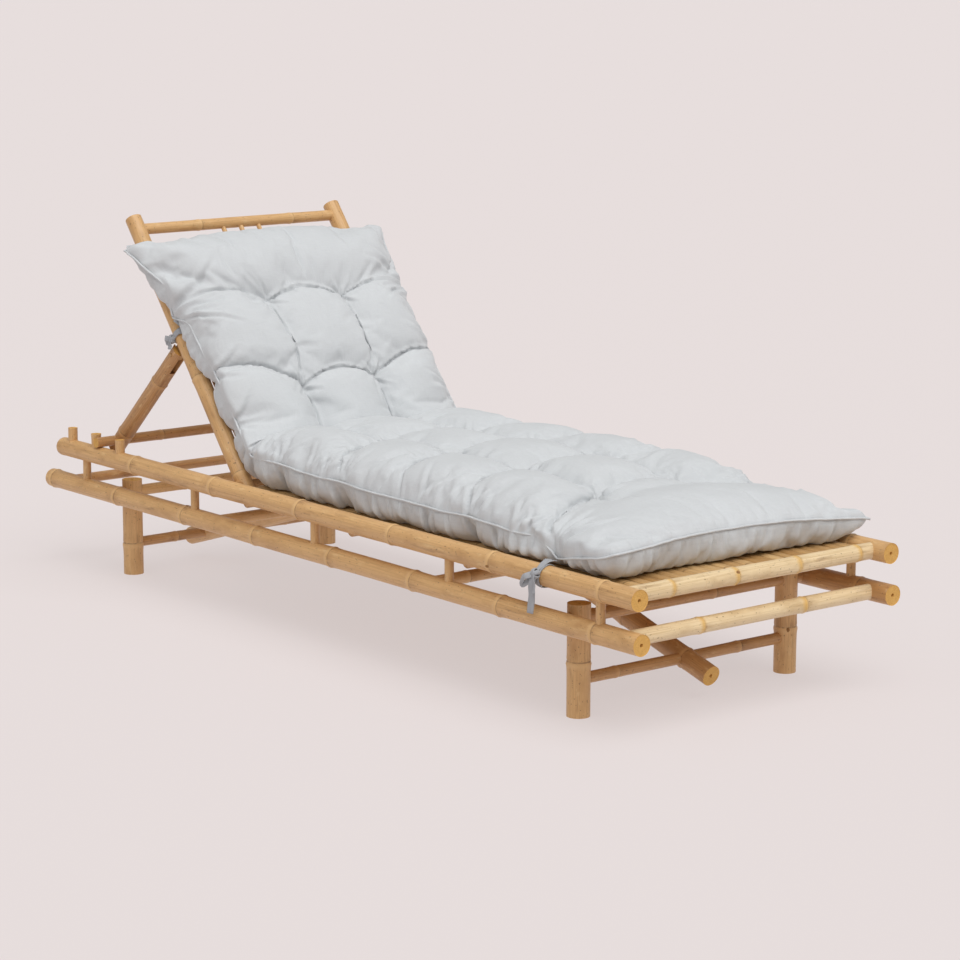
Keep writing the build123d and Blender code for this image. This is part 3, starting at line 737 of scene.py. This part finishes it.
def strip_mesh(points, number):
    """One split strip in place of a slat's box: flat below, rounded above and a little uneven."""
    along = np.linalg.svd(points - points.mean(axis=0), full_matrices=False)[2][0]
    along = along * np.sign(along[0])
    across = np.array([0.0, 1.0, 0.0])
    up = np.cross(along, across)
    spreads = [points @ direction for direction in (along, across, up)]
    length, width, thick = [np.ptp(spread) for spread in spreads]
    middle = [(spread.min() + spread.max()) / 2 for spread in spreads]
    dice = random.Random(300 + number)
    node_gap = dice.uniform(0.20, 0.27)
    first = dice.uniform(0.03, node_gap)
    turn, drop = dice.uniform(0, 6.28), dice.uniform(0.0, 0.0008)
    steps = max(2, int(length / STRIP_STEP))
    verts, faces = [], []
    for step in range(steps + 1):
        s = length * step / steps
        gap = (s - first + node_gap / 2) % node_gap - node_gap / 2
        knuckle = math.exp(-((gap / KNUCKLE_WIDTH) ** 2))
        end = math.exp(-min(s, length - s) / END_ROUND)
        level = thick * (0.86 + 0.14 * knuckle - 0.06 * end) - drop + 0.0003 * math.sin(9 * s + turn)
        slim = 1.0 - 0.02 * end - 0.012 * (1 + math.sin(5 * s + 2 * turn))
        for side, height in STRIP_SECTION:
            place = (along * (middle[0] - length / 2 + s) + across * (middle[1] + side * width * slim)
                     + up * (middle[2] - thick / 2 + (height + 0.5) * min(level, thick)))
            verts.append(place.tolist())
    size = len(STRIP_SECTION)
    for step in range(steps):
        for k in range(size):
            a, b = step * size + k, step * size + (k + 1) % size
            faces.append((a, b, b + size, a + size))
    faces.append(tuple(reversed(range(size))))
    faces.append(tuple(range(steps * size, (steps + 1) * size)))
    mesh = bpy.data.meshes.new("strip")
    mesh.from_pydata(verts, [], faces)
    work = bmesh.new()
    work.from_mesh(mesh)
    faced_out(work, mesh)
    mesh.polygons.foreach_set("use_smooth", np.array([len(p.vertices) == 4 for p in mesh.polygons]))
    return mesh


class LOUNGER_OT_slats(bpy.types.Operator):
    """Lays the split strips of the deck and the back, and gives the small fittings the same finish."""
    bl_idname = "lounger.slats"
    bl_label = "Slats and fittings"

    def execute(self, context):
        finish = split_bamboo_material()
        for node in SLATS:
            strips = [strip_mesh(points, number) for number, points in enumerate(solid_points(node))]
            for strip in strips:
                strip.materials.append(finish)
            piece = merged(strips, f"strips_{node}")
            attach(piece, BODY_OF[node])
            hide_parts(node)
        for node in SMALL_FITTINGS:
            mesh = frame["nodes"][node].data
            mesh.materials.clear()
            mesh.materials.append(finish)
        return {"FINISHED"}


def row_pull(along, rows, width):
    """How strongly the nearest rows draw the pad in at each place."""
    return sum(np.exp(-(((along - row) / width) ** 2)) for row in rows)


def rounded(distance, reach):
    """A quarter-round rise from 0 to 1 over a reach."""
    return np.sqrt(1 - (1 - np.clip(distance / reach, 0, 1)) ** 2)


def row_bow(row):
    """How far the crease of a row bows between its tufts."""
    return HINGE_ROW_BOW if row[3] < HINGE_ROW_HEIGHT else ROW_BOW


def bend_over_hinge(flat, back_angle):
    """Lays flat pad points (along, across, height) over the seat and up the backrest."""
    half_tangent = math.tan(back_angle / 2)
    radius = HINGE_TANGENT / half_tangent
    level = DECK_TOP + DECK_GAP
    corner_x = HINGE.x + (level - HINGE.z) * half_tangent
    along = flat[:, 0] - (corner_x - HINGE.x) * np.clip(flat[:, 0] / HINGE_TANGENT, -1, 1)
    across, height = flat[:, 1], flat[:, 2]
    turned = np.clip((HINGE_TANGENT - along) / (2 * HINGE_TANGENT), 0.0, 1.0) * back_angle
    beyond = np.clip(-HINGE_TANGENT - along, 0.0, None)
    before = np.clip(along, HINGE_TANGENT, None)
    x = before - radius * np.sin(turned) - beyond * np.cos(turned)
    z = radius * (1 - np.cos(turned)) + beyond * np.sin(turned)
    x = corner_x + x + height * np.sin(turned)
    z = level + z + height * np.cos(turned)
    return np.stack([x, across, z], axis=1)


def pad_grid(settings):
    """Cut points, faces and border of the two panels, top first, sharing one border."""
    columns = int(round((settings.head_reach + settings.foot_reach) / PAD_PITCH)) + 1
    lines = int(round(2 * settings.half_width / PAD_PITCH)) + 1
    along = np.linspace(-settings.head_reach, settings.foot_reach, columns)
    across = np.linspace(-settings.half_width, settings.half_width, lines)
    top = np.arange(columns * lines).reshape(columns, lines)
    grid = np.stack(np.meshgrid(along, across, indexing="ij"), axis=-1).reshape(-1, 2)
    inner = top[1:-1, 1:-1]
    bottom = top.copy()
    bottom[1:-1, 1:-1] = columns * lines + np.arange(inner.size).reshape(inner.shape)
    cut = np.concatenate([grid, grid[inner.ravel()]])
    under = np.concatenate([np.zeros(len(grid), bool), np.ones(inner.size, bool)])
    faces = []
    for i in range(columns - 1):
        for j in range(lines - 1):
            faces.append((top[i, j], top[i + 1, j], top[i + 1, j + 1], top[i, j + 1]))
            faces.append((bottom[i, j], bottom[i, j + 1], bottom[i + 1, j + 1], bottom[i + 1, j]))
    border = np.concatenate([top[:, 0], top[-1, 1:], top[-2::-1, -1], top[0, -2:0:-1]])
    return cut, under, faces, border


def tuft_places(settings):
    """Where each tuft lies on the cut pad, a little out of line as sewn by hand."""
    dice = random.Random(11)
    return [[(row[0] + dice.uniform(-0.006, 0.006), sign * settings.tuft_y + dice.uniform(-0.006, 0.006))
             for sign in (-1, 1)] for row in PAD_ROWS]


def crease_lines(settings):
    """Valleys of the tufted top as rows of (along, across, height), from tuft to tuft and to the sides."""
    tufts = tuft_places(settings)
    lines = []

    def valley(first, last, bow_along, bow_across, heights):
        for step in range(CREASE_STEPS + 1):
            t = step / CREASE_STEPS
            arch = math.sin(math.pi * t)
            level = heights[0] + (heights[2] - heights[0]) * t
            lines.append((first[0] + (last[0] - first[0]) * t + bow_along * arch,
                          first[1] + (last[1] - first[1]) * t + bow_across * arch,
                          level + (heights[1] - level) * arch ** 0.45))

    for row, pair in zip(PAD_ROWS, tufts):
        _, notch, deep, shallow = row
        bow = row_bow(row)
        valley(*pair, -bow, 0.0, (deep, shallow, deep))
        for sign, tuft in zip((-1, 1), pair):
            valley(tuft, (notch, sign * settings.half_width), -SIDE_BOW_SHARE * bow, 0.0,
                   (deep, shallow - 0.004, deep - 0.01))
    for number, (_, _, drawn, shallow) in enumerate(PAD_ROWS[1:]):
        deep = min(drawn, 0.088) if drawn > 0.05 else 0.058
        for start, end, bow in zip(tufts[number], tufts[number + 1], COLUMN_BOWS[number]):
            valley(start, end, 0.0, bow, (deep, shallow + 0.008, deep))
    return np.array(lines)


def pad_start(settings, cut, under, border):
    """The pad before it settles: pillows between the creases, pinched sides and pointed corners."""
    along, across = cut[:, 0], cut[:, 1]
    share = across / settings.half_width
    middle = (settings.foot_reach - settings.head_reach) / 2
    half_length = (settings.foot_reach + settings.head_reach) / 2
    ends = np.abs(along - middle) / half_length
    corner = np.clip((ends - 0.88) / 0.12, 0, 1) ** 2
    corner = np.where((along > middle) & (across < 0), 0.0, corner)
    pinch = np.where(along > SEAT_FROM, 0.006, 0.014) * row_pull(along, SIDE_NOTCHES, 0.026) * (across < 0)
    pinch = pinch + 0.012 * row_pull(along, (FOOT_TIE,), 0.03)
    drawn = share * (np.interp(along, SIDE_PLACES, SIDE_WIDTHS) + CORNER_OUT * corner - pinch)
    bow = (1 - share ** 2) * np.clip((ends - 0.8) / 0.2, 0, 1)
    reach = along - np.where(along < middle, 0.032, 0.005) * bow
    # The near corner at the foot is sewn round.
    a = np.clip((along - settings.foot_reach) / CORNER_ROUND + 1, 0, None)
    b = np.clip((-across - settings.half_width) / CORNER_ROUND + 1, 0, None)
    pull = np.where((a > 0) & (b > 0), 1 - np.maximum(a, b) / np.maximum(np.hypot(a, b), 1e-6), 0.0)
    reach = reach - CORNER_ROUND * a * pull
    drawn = drawn + CORNER_ROUND * b * pull
    edge = np.minimum((1 - np.abs(share)) * settings.half_width, (1 - ends) * half_length)
    lines = crease_lines(settings)
    tree = KDTree(len(lines))
    for index, (x, y, _) in enumerate(lines):
        tree.insert((x, y, 0.0), index)
    tree.balance()
    found = [tree.find((x, y, 0.0)) for x, y in cut]
    away = np.array([hit[2] for hit in found])
    floor = np.array([lines[hit[1]][2] for hit in found])
    pillow = rounded(away, PILLOW_REACH)
    # On the seat the creases die out before the sides, apart from the tied row.
    fading = 0.75 * (1 - np.clip(edge / FADE_REACH, 0, 1)) * (along > SEAT_FROM)
    pillow = pillow + (1 - pillow) * fading * (np.abs(along - FOOT_TIE) > 0.07)
    seam = np.interp(along, SEAM_PLACES, SEAM_HEIGHTS) - CORNER_DROP * corner * np.abs(share) ** 6
    seam = seam - TIE_DROP * row_pull(along, (HEAD_TIE, FOOT_TIE), 0.024) * np.abs(share) ** 8
    near_side = np.clip(-share, 0, 1) ** 6 * (along > NEAR_SEAM_PLACES[0])
    seam = seam + near_side * (np.interp(along, NEAR_SEAM_PLACES, NEAR_SEAM_HEIGHTS) - seam)
    crest = np.interp(along, CREST_PLACES, CREST_HEIGHTS)
    quilt = np.minimum(floor, crest - LEAST_CREST) + np.clip(crest - floor, LEAST_CREST, None) * pillow
    top = seam + (quilt - seam) * rounded(edge, CROWN_REACH)
    height = np.where(under, seam * (1 - rounded(edge, BELOW_REACH)), top)
    height[border] = seam[border]
    # What the stitches, the deck and the corners hold while the cover fills.
    hold = np.zeros(len(cut))
    hold[(~under) & (away < 0.005) & (edge > 0.05)] = CREASE_HOLD
    tufts = [tuft for pair in tuft_places(settings) for tuft in pair]
    near = np.min([np.hypot(along - x, across - y) for x, y in tufts], axis=0)
    hold[(~under) & (near < 0.0065)] = 1.0
    resting = under & (np.abs(across) < 0.2) & (along > -settings.head_reach + 0.1)
    hold[resting & (along < settings.foot_reach - 0.1)] = 1.0
    for notch in SIDE_NOTCHES:
        drawn_in = border[(np.abs(along[border] - notch) < 0.005) & (across[border] < -0.3)]
        hold[drawn_in] = 0.3 if SEAT_FROM < notch < FOOT_TIE else 1.0
    hold[border[(along[border] > FOOT_TIE) & (across[border] < -0.33)]] = 0.6
    corners = (ends > 0.985) & (np.abs(share) > 0.965)
    hold[border[corners[border]]] = 1.0
    return np.stack([reach, drawn, height], axis=1), hold


def stuffed(name, start, faces, hold, border, settings):
    """The pad's points after the slack cloth has been filled and has settled."""
    mesh = bpy.data.meshes.new(name)
    mesh.from_pydata(start.tolist(), [], faces)
    piece = placed(name, mesh)
    group = piece.vertex_groups.new(name="held")
    for index in np.nonzero(hold)[0]:
        group.add([int(index)], float(hold[index]), "REPLACE")
    piece.vertex_groups.new(name="seam").add([int(index) for index in border], 1.0, "REPLACE")
    cloth = piece.modifiers.new("Stuffing", "CLOTH")
    values = {
        "quality": 6, "mass": 0.25, "air_damping": 2.0,
        "tension_stiffness": 20.0, "compression_stiffness": 20.0, "shear_stiffness": 6.0,
        "bending_stiffness": 0.06, "tension_damping": 8.0, "compression_damping": 8.0,
        "use_pressure": True, "uniform_pressure_force": settings.pressure, "vertex_group_mass": "held",
        "shrink_min": -settings.slack, "shrink_max": settings.gather, "vertex_group_shrink": "seam",
    }
    for key, value in values.items():
        setattr(cloth.settings, key, value)
    cloth.settings.effector_weights.gravity = 0.0
    cloth.collision_settings.use_collision = False
    cloth.point_cache.frame_end = settings.frames
    for step in range(1, settings.frames + 1):
        bpy.context.scene.frame_set(step)
    points = rows_of(baked(piece).vertices, "co")
    bpy.data.objects.remove(piece)
    bpy.context.scene.frame_set(1)
    return points


def eased(points, cut, under):
    """Lets the long pillow at the foot lie lower than the filling would push it."""
    gain = np.interp(cut[:, 0], EASE_PLACES, EASE_SHARES)
    lower = points.copy()
    raised = ~under & (points[:, 2] > EASE_FROM)
    lower[raised, 2] = EASE_FROM + (points[raised, 2] - EASE_FROM) * gain[raised]
    return lower


def kept_clear(points):
    """Keeps the pad above the slats, the rails beside the deck and the backrest's stiles."""
    across = np.abs(points[:, 1])
    rail, stile = [np.clip((across - side) / slope, 0, 1) * rise
                   for side, slope, rise in (RAIL_EDGE, STILE_EDGE)]
    floor = np.where(points[:, 0] > 0.0, rail, stile) + PAD_GAP
    clear = points.copy()
    clear[:, 2] = np.maximum(points[:, 2], floor)
    return clear


def smoothed_mesh(name, points, faces, cut, under):
    """The pad's mesh, subdivided once, with its weave coordinates."""
    mesh = bpy.data.meshes.new(name)
    mesh.from_pydata(points.tolist(), [], faces)
    weave = mesh.attributes.new("weave", "FLOAT_VECTOR", "POINT")
    weave.data.foreach_set("vector", np.column_stack([cut, under * UNDER_WEAVE]).astype(np.float32).ravel())
    piece = placed(name, mesh)
    finer = piece.modifiers.new("Finer", "SUBSURF")
    finer.levels = finer.render_levels = 1
    result = baked(piece)
    bpy.data.objects.remove(piece)
    result.polygons.foreach_set("use_smooth", np.ones(len(result.polygons), bool))
    return result


def pleat_lines(settings):
    """Small folds of the cover: (start, end, width, height, underside, bow) on the cut pad."""
    dice = random.Random(21)
    tufts = tuft_places(settings)
    folds = []
    # Along the creases.
    for row, pair in zip(PAD_ROWS, tufts):
        bow = row_bow(row)
        folds.append((*pair, *CREASE_FOLD, False, -bow))
        for sign, tuft in zip((-1, 1), pair):
            side = (row[1], sign * settings.half_width)
            folds.append((tuft, side, *CREASE_FOLD, False, SIDE_BOW_SHARE * sign * -bow))
    for number, bows in enumerate(COLUMN_BOWS):
        for start, end, bow in zip(tufts[number], tufts[number + 1], bows):
            folds.append((start, end, 0.005, 0.0055 if number < 2 else 0.0035, False, -bow))
    # Round each tuft.
    for along, across in [tuft for pair in tufts for tuft in pair]:
        first = dice.uniform(0, 6.28)
        for number in range(7):
            turn = first + number * 0.9 + dice.uniform(-0.25, 0.25)
            length = dice.uniform(0.035, 0.085)
            end = (along + length * math.cos(turn), across + length * math.sin(turn))
            height = dice.uniform(0.0028, 0.0060) * (1.5 if along > SEAT_FROM else 1.0)
            folds.append(((along, across), end, dice.uniform(0.004, 0.007), height, False, None))
    # In from the sides, above the seam.
    for notch in SIDE_NOTCHES + SIDE_FOLDS:
        tied = notch in (HEAD_TIE, FOOT_TIE)
        lengths, heights = ((0.09, 0.15), (0.005, 0.008)) if tied else ((0.05, 0.11), (0.004, 0.0065))
        half = 2 if tied else 1
        for sign in (-1, 1):
            edge = sign * settings.half_width
            for number in range(2 * half + 1):
                length = dice.uniform(*lengths)
                lean = (number - half) * 0.028 + dice.uniform(-0.012, 0.012)
                start, end = (notch + lean * 0.3, edge), (notch + lean * 1.6, edge - sign * length)
                folds.append((start, end, dice.uniform(0.006, 0.009), dice.uniform(*heights), False, None))
    # In from the sides, below the seam.
    place = -settings.head_reach + 0.05
    while place < settings.foot_reach - 0.04:
        for sign in (-1, 1):
            edge = sign * settings.half_width
            start = place + dice.uniform(-0.015, 0.015)
            end = (start + dice.uniform(-0.025, 0.025), edge - sign * dice.uniform(0.05, 0.09))
            height = dice.uniform(0.003, 0.008) * (1.0 if start > 0.05 else 0.45)
            folds.append(((start, edge), end, dice.uniform(0.006, 0.011), height, True, None))
        place += dice.uniform(0.024, 0.055)
    # In from the foot and head edges, below and above the seam.
    place = -settings.half_width + 0.05
    while place < settings.half_width - 0.05:
        for edge, inward in ((settings.foot_reach, -1), (-settings.head_reach, 1)):
            end = (edge + inward * dice.uniform(0.04, 0.07), place + dice.uniform(-0.02, 0.02))
            width, height = dice.uniform(0.006, 0.010), dice.uniform(0.002, 0.005)
            folds.append(((edge, place), end, width, height, True, None))
            short = (edge + inward * dice.uniform(0.025, 0.06), place + dice.uniform(-0.015, 0.015))
            folds.append(((edge, place + 0.012), short, 0.006, dice.uniform(0.0005, 0.0016), False, None))
        place += dice.uniform(0.025, 0.05)
    return folds


def pleated(mesh, settings):
    """Presses the small folds into the pad: each a ridge beside a groove that dies out along its length."""
    points, normals = rows_of(mesh.vertices, "co"), rows_of(mesh.vertices, "normal")
    weave = rows_of(mesh.attributes["weave"].data, "vector", np.float32)
    lift = np.zeros(len(points))
    for start, end, width, height, underside, bow in pleat_lines(settings):
        line = np.array(end) - np.array(start)
        length = np.hypot(*line)
        direction = line / length
        panel = weave[:, 2] > 0.5 if underside else weave[:, 2] < 2.5
        near = panel & (np.abs(weave[:, :2] - np.array(start, np.float32)) < FOLD_REACH).all(axis=1)
        gap = weave[near][:, :2] - np.array(start)
        t = gap @ direction / length
        arch = np.sin(math.pi * np.clip(t, 0, 1))
        d = gap @ np.array([-direction[1], direction[0]]) + (0.06 * length if bow is None else bow) * arch
        if bow is None:
            fade = np.clip(t * 7, 0, 1) * np.clip(1 - t, 0, 1) ** 0.8
        else:
            fade = arch ** 0.4 * (t > 0) * (t < 1)
        ridge = np.exp(-(((d - 0.6 * width) / (0.75 * width)) ** 2))
        groove = np.exp(-(((d + 0.6 * width) / (0.6 * width)) ** 2))
        lift[near] += height * fade * (ridge - groove)
    mesh.vertices.foreach_set("co", (points + normals * lift[:, None]).ravel())


def piping_tree():
    """Geometry Nodes tree that sweeps a round cord along a closed edge loop."""
    graph, given = new_tree("Pad piping", {"Loop": "Geometry", "Radius": "Float", "Cover": "Material"})
    curve = graph.put("GeometryNodeMeshToCurve", {"Mesh": given["Loop"]})
    profile = graph.put("GeometryNodeCurvePrimitiveCircle", {"Resolution": 8, "Radius": given["Radius"]})
    swept = graph.put("GeometryNodeCurveToMesh", {"Curve": curve, "Profile Curve": profile})
    smooth = graph.put("GeometryNodeSetShadeSmooth", {"Geometry": swept})
    woven = graph.stored(smooth, "weave", graph.put("GeometryNodeInputPosition"), "FLOAT_VECTOR")
    real = graph.put("GeometryNodeRealizeInstances", {"Geometry": woven})
    skin = graph.put("GeometryNodeSetMaterial", {"Geometry": real, "Material": given["Cover"]})
    graph.node("NodeGroupOutput", {0: skin})
    return graph.tree


def piping(points, cover):
    """A piping cord along closed points."""
    count = len(points)
    mesh = bpy.data.meshes.new("piping")
    mesh.from_pydata(points.tolist(), [(i, (i + 1) % count) for i in range(count)], [])
    return grown(piping_tree(), mesh, {"Radius": PIPING_RADIUS, "Cover": cover})


def back_angle():
    """The backrest's lean from level, from its stile."""
    start, end, _ = pole_line(solid_points("right_stile")[0])
    return math.atan2(abs(end.z - start.z), abs(end.x - start.x))


class LOUNGER_OT_pad(bpy.types.Operator):
    """Makes the tufted pad, one length of cloth over the seat and the backrest."""
    bl_idname = "lounger.pad"
    bl_label = "Tufted pad"

    def execute(self, context):
        settings = context.scene.lounger_pad
        cover = cover_material("woven_cotton_cover", settings.cloth, COVER_THREAD)
        cut, under, faces, border = pad_grid(settings)
        points, hold = pad_start(settings, cut, under, border)
        points = eased(stuffed("pad_cloth", points, faces, hold, border, settings), cut, under)
        lean = back_angle()
        points = bend_over_hinge(kept_clear(points), lean)
        mesh = smoothed_mesh("tufted_pad", points, faces, cut, under)
        pleated(mesh, settings)
        mesh.materials.append(cover)
        piece = merged([mesh, piping(points[border], cover)], "tufted_pad")
        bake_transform(piece)
        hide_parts("seat_pad", "back_pad")
        return {"FINISHED"}


def smooth_path(points, count):
    """Evenly stepped points on a smooth line through the given ones."""
    given = [Vector(p) for p in points]
    padded = [given[0] * 2 - given[1]] + given + [given[-1] * 2 - given[-2]]
    result = []
    spans = len(given) - 1
    for step in range(count):
        place = step / (count - 1) * spans
        span = min(int(place), spans - 1)
        t = place - span
        a, b, c, d = padded[span:span + 4]
        result.append(0.5 * (2 * b + (c - a) * t + (2 * a - 5 * b + 4 * c - d) * t * t
                             + (3 * b - 3 * c + d - a) * t ** 3))
    return result


def tape(work, path, face, width, thick, count, seed):
    """A fabric tape along a path, its face turned to a direction, with soft folded edges."""
    places = smooth_path(path, count)
    rings = []
    sway = random.Random(seed).uniform(0, 6.28)
    for index, place in enumerate(places):
        ahead = (places[min(index + 1, count - 1)] - places[max(index - 1, 0)]).normalized()
        toward = Vector(face(place)) if callable(face) else Vector(face)
        side = ahead.cross(toward).normalized()
        up = side.cross(ahead).normalized()
        curl = TAPE_CURL * width * math.sin(0.9 * index + sway)
        rings.append([work.verts.new(place + side * (share * width) + up * (lift * thick + curl * share))
                      for share, lift in TAPE_SECTION])
    size = len(TAPE_SECTION)
    for first, second in zip(rings, rings[1:]):
        for k in range(size):
            work.faces.new((first[k], first[(k + 1) % size], second[(k + 1) % size], second[k]))
    work.faces.new(list(reversed(rings[0])))
    work.faces.new(rings[-1])


def tie_piece(node, pole, place, outward, down, pad_edge, shape, seed, settings, finish):
    """One fabric tie: from the pad's edge, round the pole, with a knot, loops and hanging tails."""
    start, end, radius = pole
    axis = (end - start).normalized()
    centre = start + axis * (place - start).dot(axis)
    outward = (outward - axis * outward.dot(axis)).normalized()
    down = (down - axis * down.dot(axis) - outward * down.dot(outward)).normalized()
    hang = Vector((0.0, 0.0, -1.0))
    work = bmesh.new()
    wide, thick = settings.tape_width, TAPE_THICK
    clear = radius + TAPE_GAP

    def from_pole(point):
        gap = Vector(point) - centre
        return gap - axis * gap.dot(axis)

    # Round the pole, and twice from the pad's edge to the knot.
    turns = [2 * math.pi * step / 16 for step in range(17)]
    loop = [centre + (outward * math.cos(turn) - down * math.sin(turn)) * clear
            + axis * (0.004 * math.sin(turn)) for turn in turns]
    tape(work, loop, from_pole, wide, thick, 49, seed)
    knot = centre + (outward + down * shape["knot_drop"]).normalized() * (clear + 0.0040)
    over = centre - down * (clear + 0.002) + outward * (0.2 * clear)
    for shift in (-0.006, 0.007):
        path = [pad_edge + axis * shift, (pad_edge + over) / 2 - down * 0.003 + axis * shift * 0.8,
                over + axis * shift * 0.5, centre + (outward * 0.8 - down * 0.6) * (clear + 0.0025), knot]
        tape(work, path, from_pole, wide * 0.8, thick, 24, seed + 1)
    # The knot: three turns across each other.
    turns = [2 * math.pi * step / 12 for step in range(13)]
    for number in range(3):
        lean = axis * math.cos(1.1 * number) + down * math.sin(1.1 * number)
        across = outward.cross(lean).normalized()
        ring = [knot + across * (0.0085 * math.cos(turn)) + outward * (0.006 * math.sin(turn))
                + lean * (0.0022 * (number - 1)) for turn in turns]
        tape(work, ring, lambda p: Vector(p) - knot, wide * 0.66, thick * 1.6, 37, seed + 2 + number)
    for number, (drop, lean, share) in enumerate(shape["tails"]):
        out = 0.004 + 0.002 * number
        path = [knot + outward * 0.003,
                knot + axis * (lean * drop * 0.25) + hang * 0.2 * drop + outward * 0.007,
                knot + axis * (lean * drop * 0.7) + hang * 0.6 * drop + outward * out,
                knot + axis * lean * drop + hang * drop + outward * (out + 0.002)]
        tape(work, path, outward + axis * (0.35 - 0.7 * number), wide * share, thick, 22, seed + 6 + number)
    for number, (reach, drop) in enumerate(shape["loops"]):
        tip = knot + axis * reach + hang * drop + outward * 0.008
        half = (knot + tip) / 2
        path = [knot + outward * 0.002, half + outward * 0.010 - hang * 0.004,
                tip - hang * 0.003 + outward * 0.002, tip + hang * 0.004,
                half + outward * 0.002 + hang * 0.006, knot + outward * 0.001]
        tape(work, path, outward - hang * 0.3, wide * 0.95, thick, 30, seed + 9 + number)
    mesh = bpy.data.meshes.new(node)
    faced_out(work, mesh)
    mesh.polygons.foreach_set("use_smooth", np.ones(len(mesh.polygons), bool))
    weave = mesh.attributes.new("weave", "FLOAT_VECTOR", "POINT")
    weave.data.foreach_set("vector", np.array([v.co for v in mesh.vertices], np.float32).ravel())
    mesh.materials.append(finish)
    piece = merged([mesh], f"tape_{node}")
    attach(piece, BODY_OF[node])
    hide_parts(node)


class LOUNGER_OT_ties(bpy.types.Operator):
    """Ties the pad to the rails near the foot and to the stiles near the head."""
    bl_idname = "lounger.ties"
    bl_label = "Fabric ties"

    def execute(self, context):
        settings = context.scene.lounger_pad
        finish = cover_material("woven_cotton_tape", settings.tape, TAPE_THREAD)
        lean = back_angle()
        up_stile = Vector((-math.cos(lean), 0.0, math.sin(lean)))
        front = Vector((math.sin(lean), 0.0, math.cos(lean)))
        for number, (side, sign) in enumerate(zip(SIDES, (-1, 1))):
            outward = Vector((0, sign, 0))
            rail = pole_line(solid_points(f"{side}_upper_rail")[0])
            away, above = FOOT_TIE_EDGE
            edge = Vector((HINGE.x + FOOT_TIE, sign * away, DECK_TOP + above))
            tie_piece(f"{side}_foot_tie", rail, edge, outward, Vector((0, 0, -1)), edge, FOOT_KNOT,
                      40 + 20 * number, settings, finish)
            stile = pole_line(solid_points(f"{side}_stile")[0])
            away, above = HEAD_TIE_EDGE
            edge = HINGE + up_stile * -HEAD_TIE + front * above + outward * away
            tie_piece(f"{side}_head_tie", stile, edge - up_stile * HEAD_KNOT_BELOW, outward, -front, edge,
                      HEAD_KNOT, 50 + 20 * number, settings, finish)
        return {"FINISHED"}


class LOUNGER_OT_stage(bpy.types.Operator):
    """Lays the floor and sets the light and the camera."""
    bl_idname = "lounger.stage"
    bl_label = "Stage"

    def execute(self, context):
        scene = context.scene
        settings = scene.lounger_stage
        mesh = bpy.data.meshes.new("floor")
        corners = [(x * FLOOR_HALF, y * FLOOR_HALF, 0) for x, y in ((-1, -1), (1, -1), (1, 1), (-1, 1))]
        mesh.from_pydata(corners, [], [(0, 1, 2, 3)])
        floor = placed("floor", mesh)
        material, graph, shader = new_material("matt_floor")
        graph.fill(shader, {
            "Base Color": (*[c * FLOOR_SHADE for c in settings.floor], 1.0),
            "Emission Color": (*settings.floor, 1.0), "Emission Strength": FLOOR_GLOW,
            "Roughness": 0.95, "Specular IOR Level": 0.1,
        })
        mesh.materials.append(material)
        world = bpy.data.worlds.new("studio")
        world.use_nodes = True
        sky = world.node_tree.nodes["Background"]
        sky.inputs["Color"].default_value = SKY_COLOUR
        sky.inputs["Strength"].default_value = settings.sky
        scene.world = world
        for name, (strength, angle, direction) in LIGHTS.items():
            light = bpy.data.lights.new(name, "SUN")
            light.energy = getattr(settings, strength)
            light.angle = math.radians(angle)
            placed(name, light).rotation_euler = Vector(direction).to_track_quat("-Z", "Y").to_euler()
        lens = bpy.data.cameras.new("photo_camera")
        lens.lens = settings.lens
        lens.sensor_width = SENSOR_WIDTH
        lens.clip_end = VIEW_END
        camera = placed("photo_camera", lens)
        level = math.cos(CAMERA_PITCH)
        look = Vector((-math.sin(CAMERA_YAW) * level, math.cos(CAMERA_YAW) * level, math.sin(CAMERA_PITCH)))
        turn = look.to_track_quat("-Z", "Y").to_matrix().to_4x4()
        camera.matrix_world = (Matrix.Translation(CAMERA_PLACE) @ turn
                               @ Matrix.Rotation(CAMERA_ROLL, 4, "Z"))
        scene.camera = camera
        scene.view_settings.view_transform = "Standard"
        return {"FINISHED"}


class LOUNGER_PT_panel(bpy.types.Panel):
    """Lists the settings and the steps."""
    bl_label = "Bamboo sun lounger"
    bl_space_type = "VIEW_3D"
    bl_region_type = "UI"
    bl_category = "Lounger"

    def draw(self, context):
        for group in GROUPS:
            settings = getattr(context.scene, group)
            for name in settings.bl_rna.properties.keys():
                if name not in ("rna_type", "name"):
                    self.layout.prop(settings, name)
        for step in STEPS:
            self.layout.operator(step.bl_idname)


GROUPS = {"lounger_bamboo": LoungerBamboo, "lounger_pad": LoungerPad, "lounger_stage": LoungerStage}
STEPS = (LOUNGER_OT_culms, LOUNGER_OT_slats, LOUNGER_OT_pad, LOUNGER_OT_ties, LOUNGER_OT_stage)
CLASSES = (*GROUPS.values(), *STEPS, LOUNGER_PT_panel)


def register():
    for kind in CLASSES:
        bpy.utils.register_class(kind)
    for name, kind in GROUPS.items():
        setattr(bpy.types.Scene, name, bpy.props.PointerProperty(type=kind))


def unregister():
    for name in GROUPS:
        delattr(bpy.types.Scene, name)
    for kind in reversed(CLASSES):
        bpy.utils.unregister_class(kind)


def main():
    register()
    bpy.ops.lounger.culms()
    bpy.ops.lounger.slats()
    bpy.ops.lounger.pad()
    bpy.ops.lounger.ties()
    bpy.ops.lounger.stage()


if __name__ == "__main__":
    main()
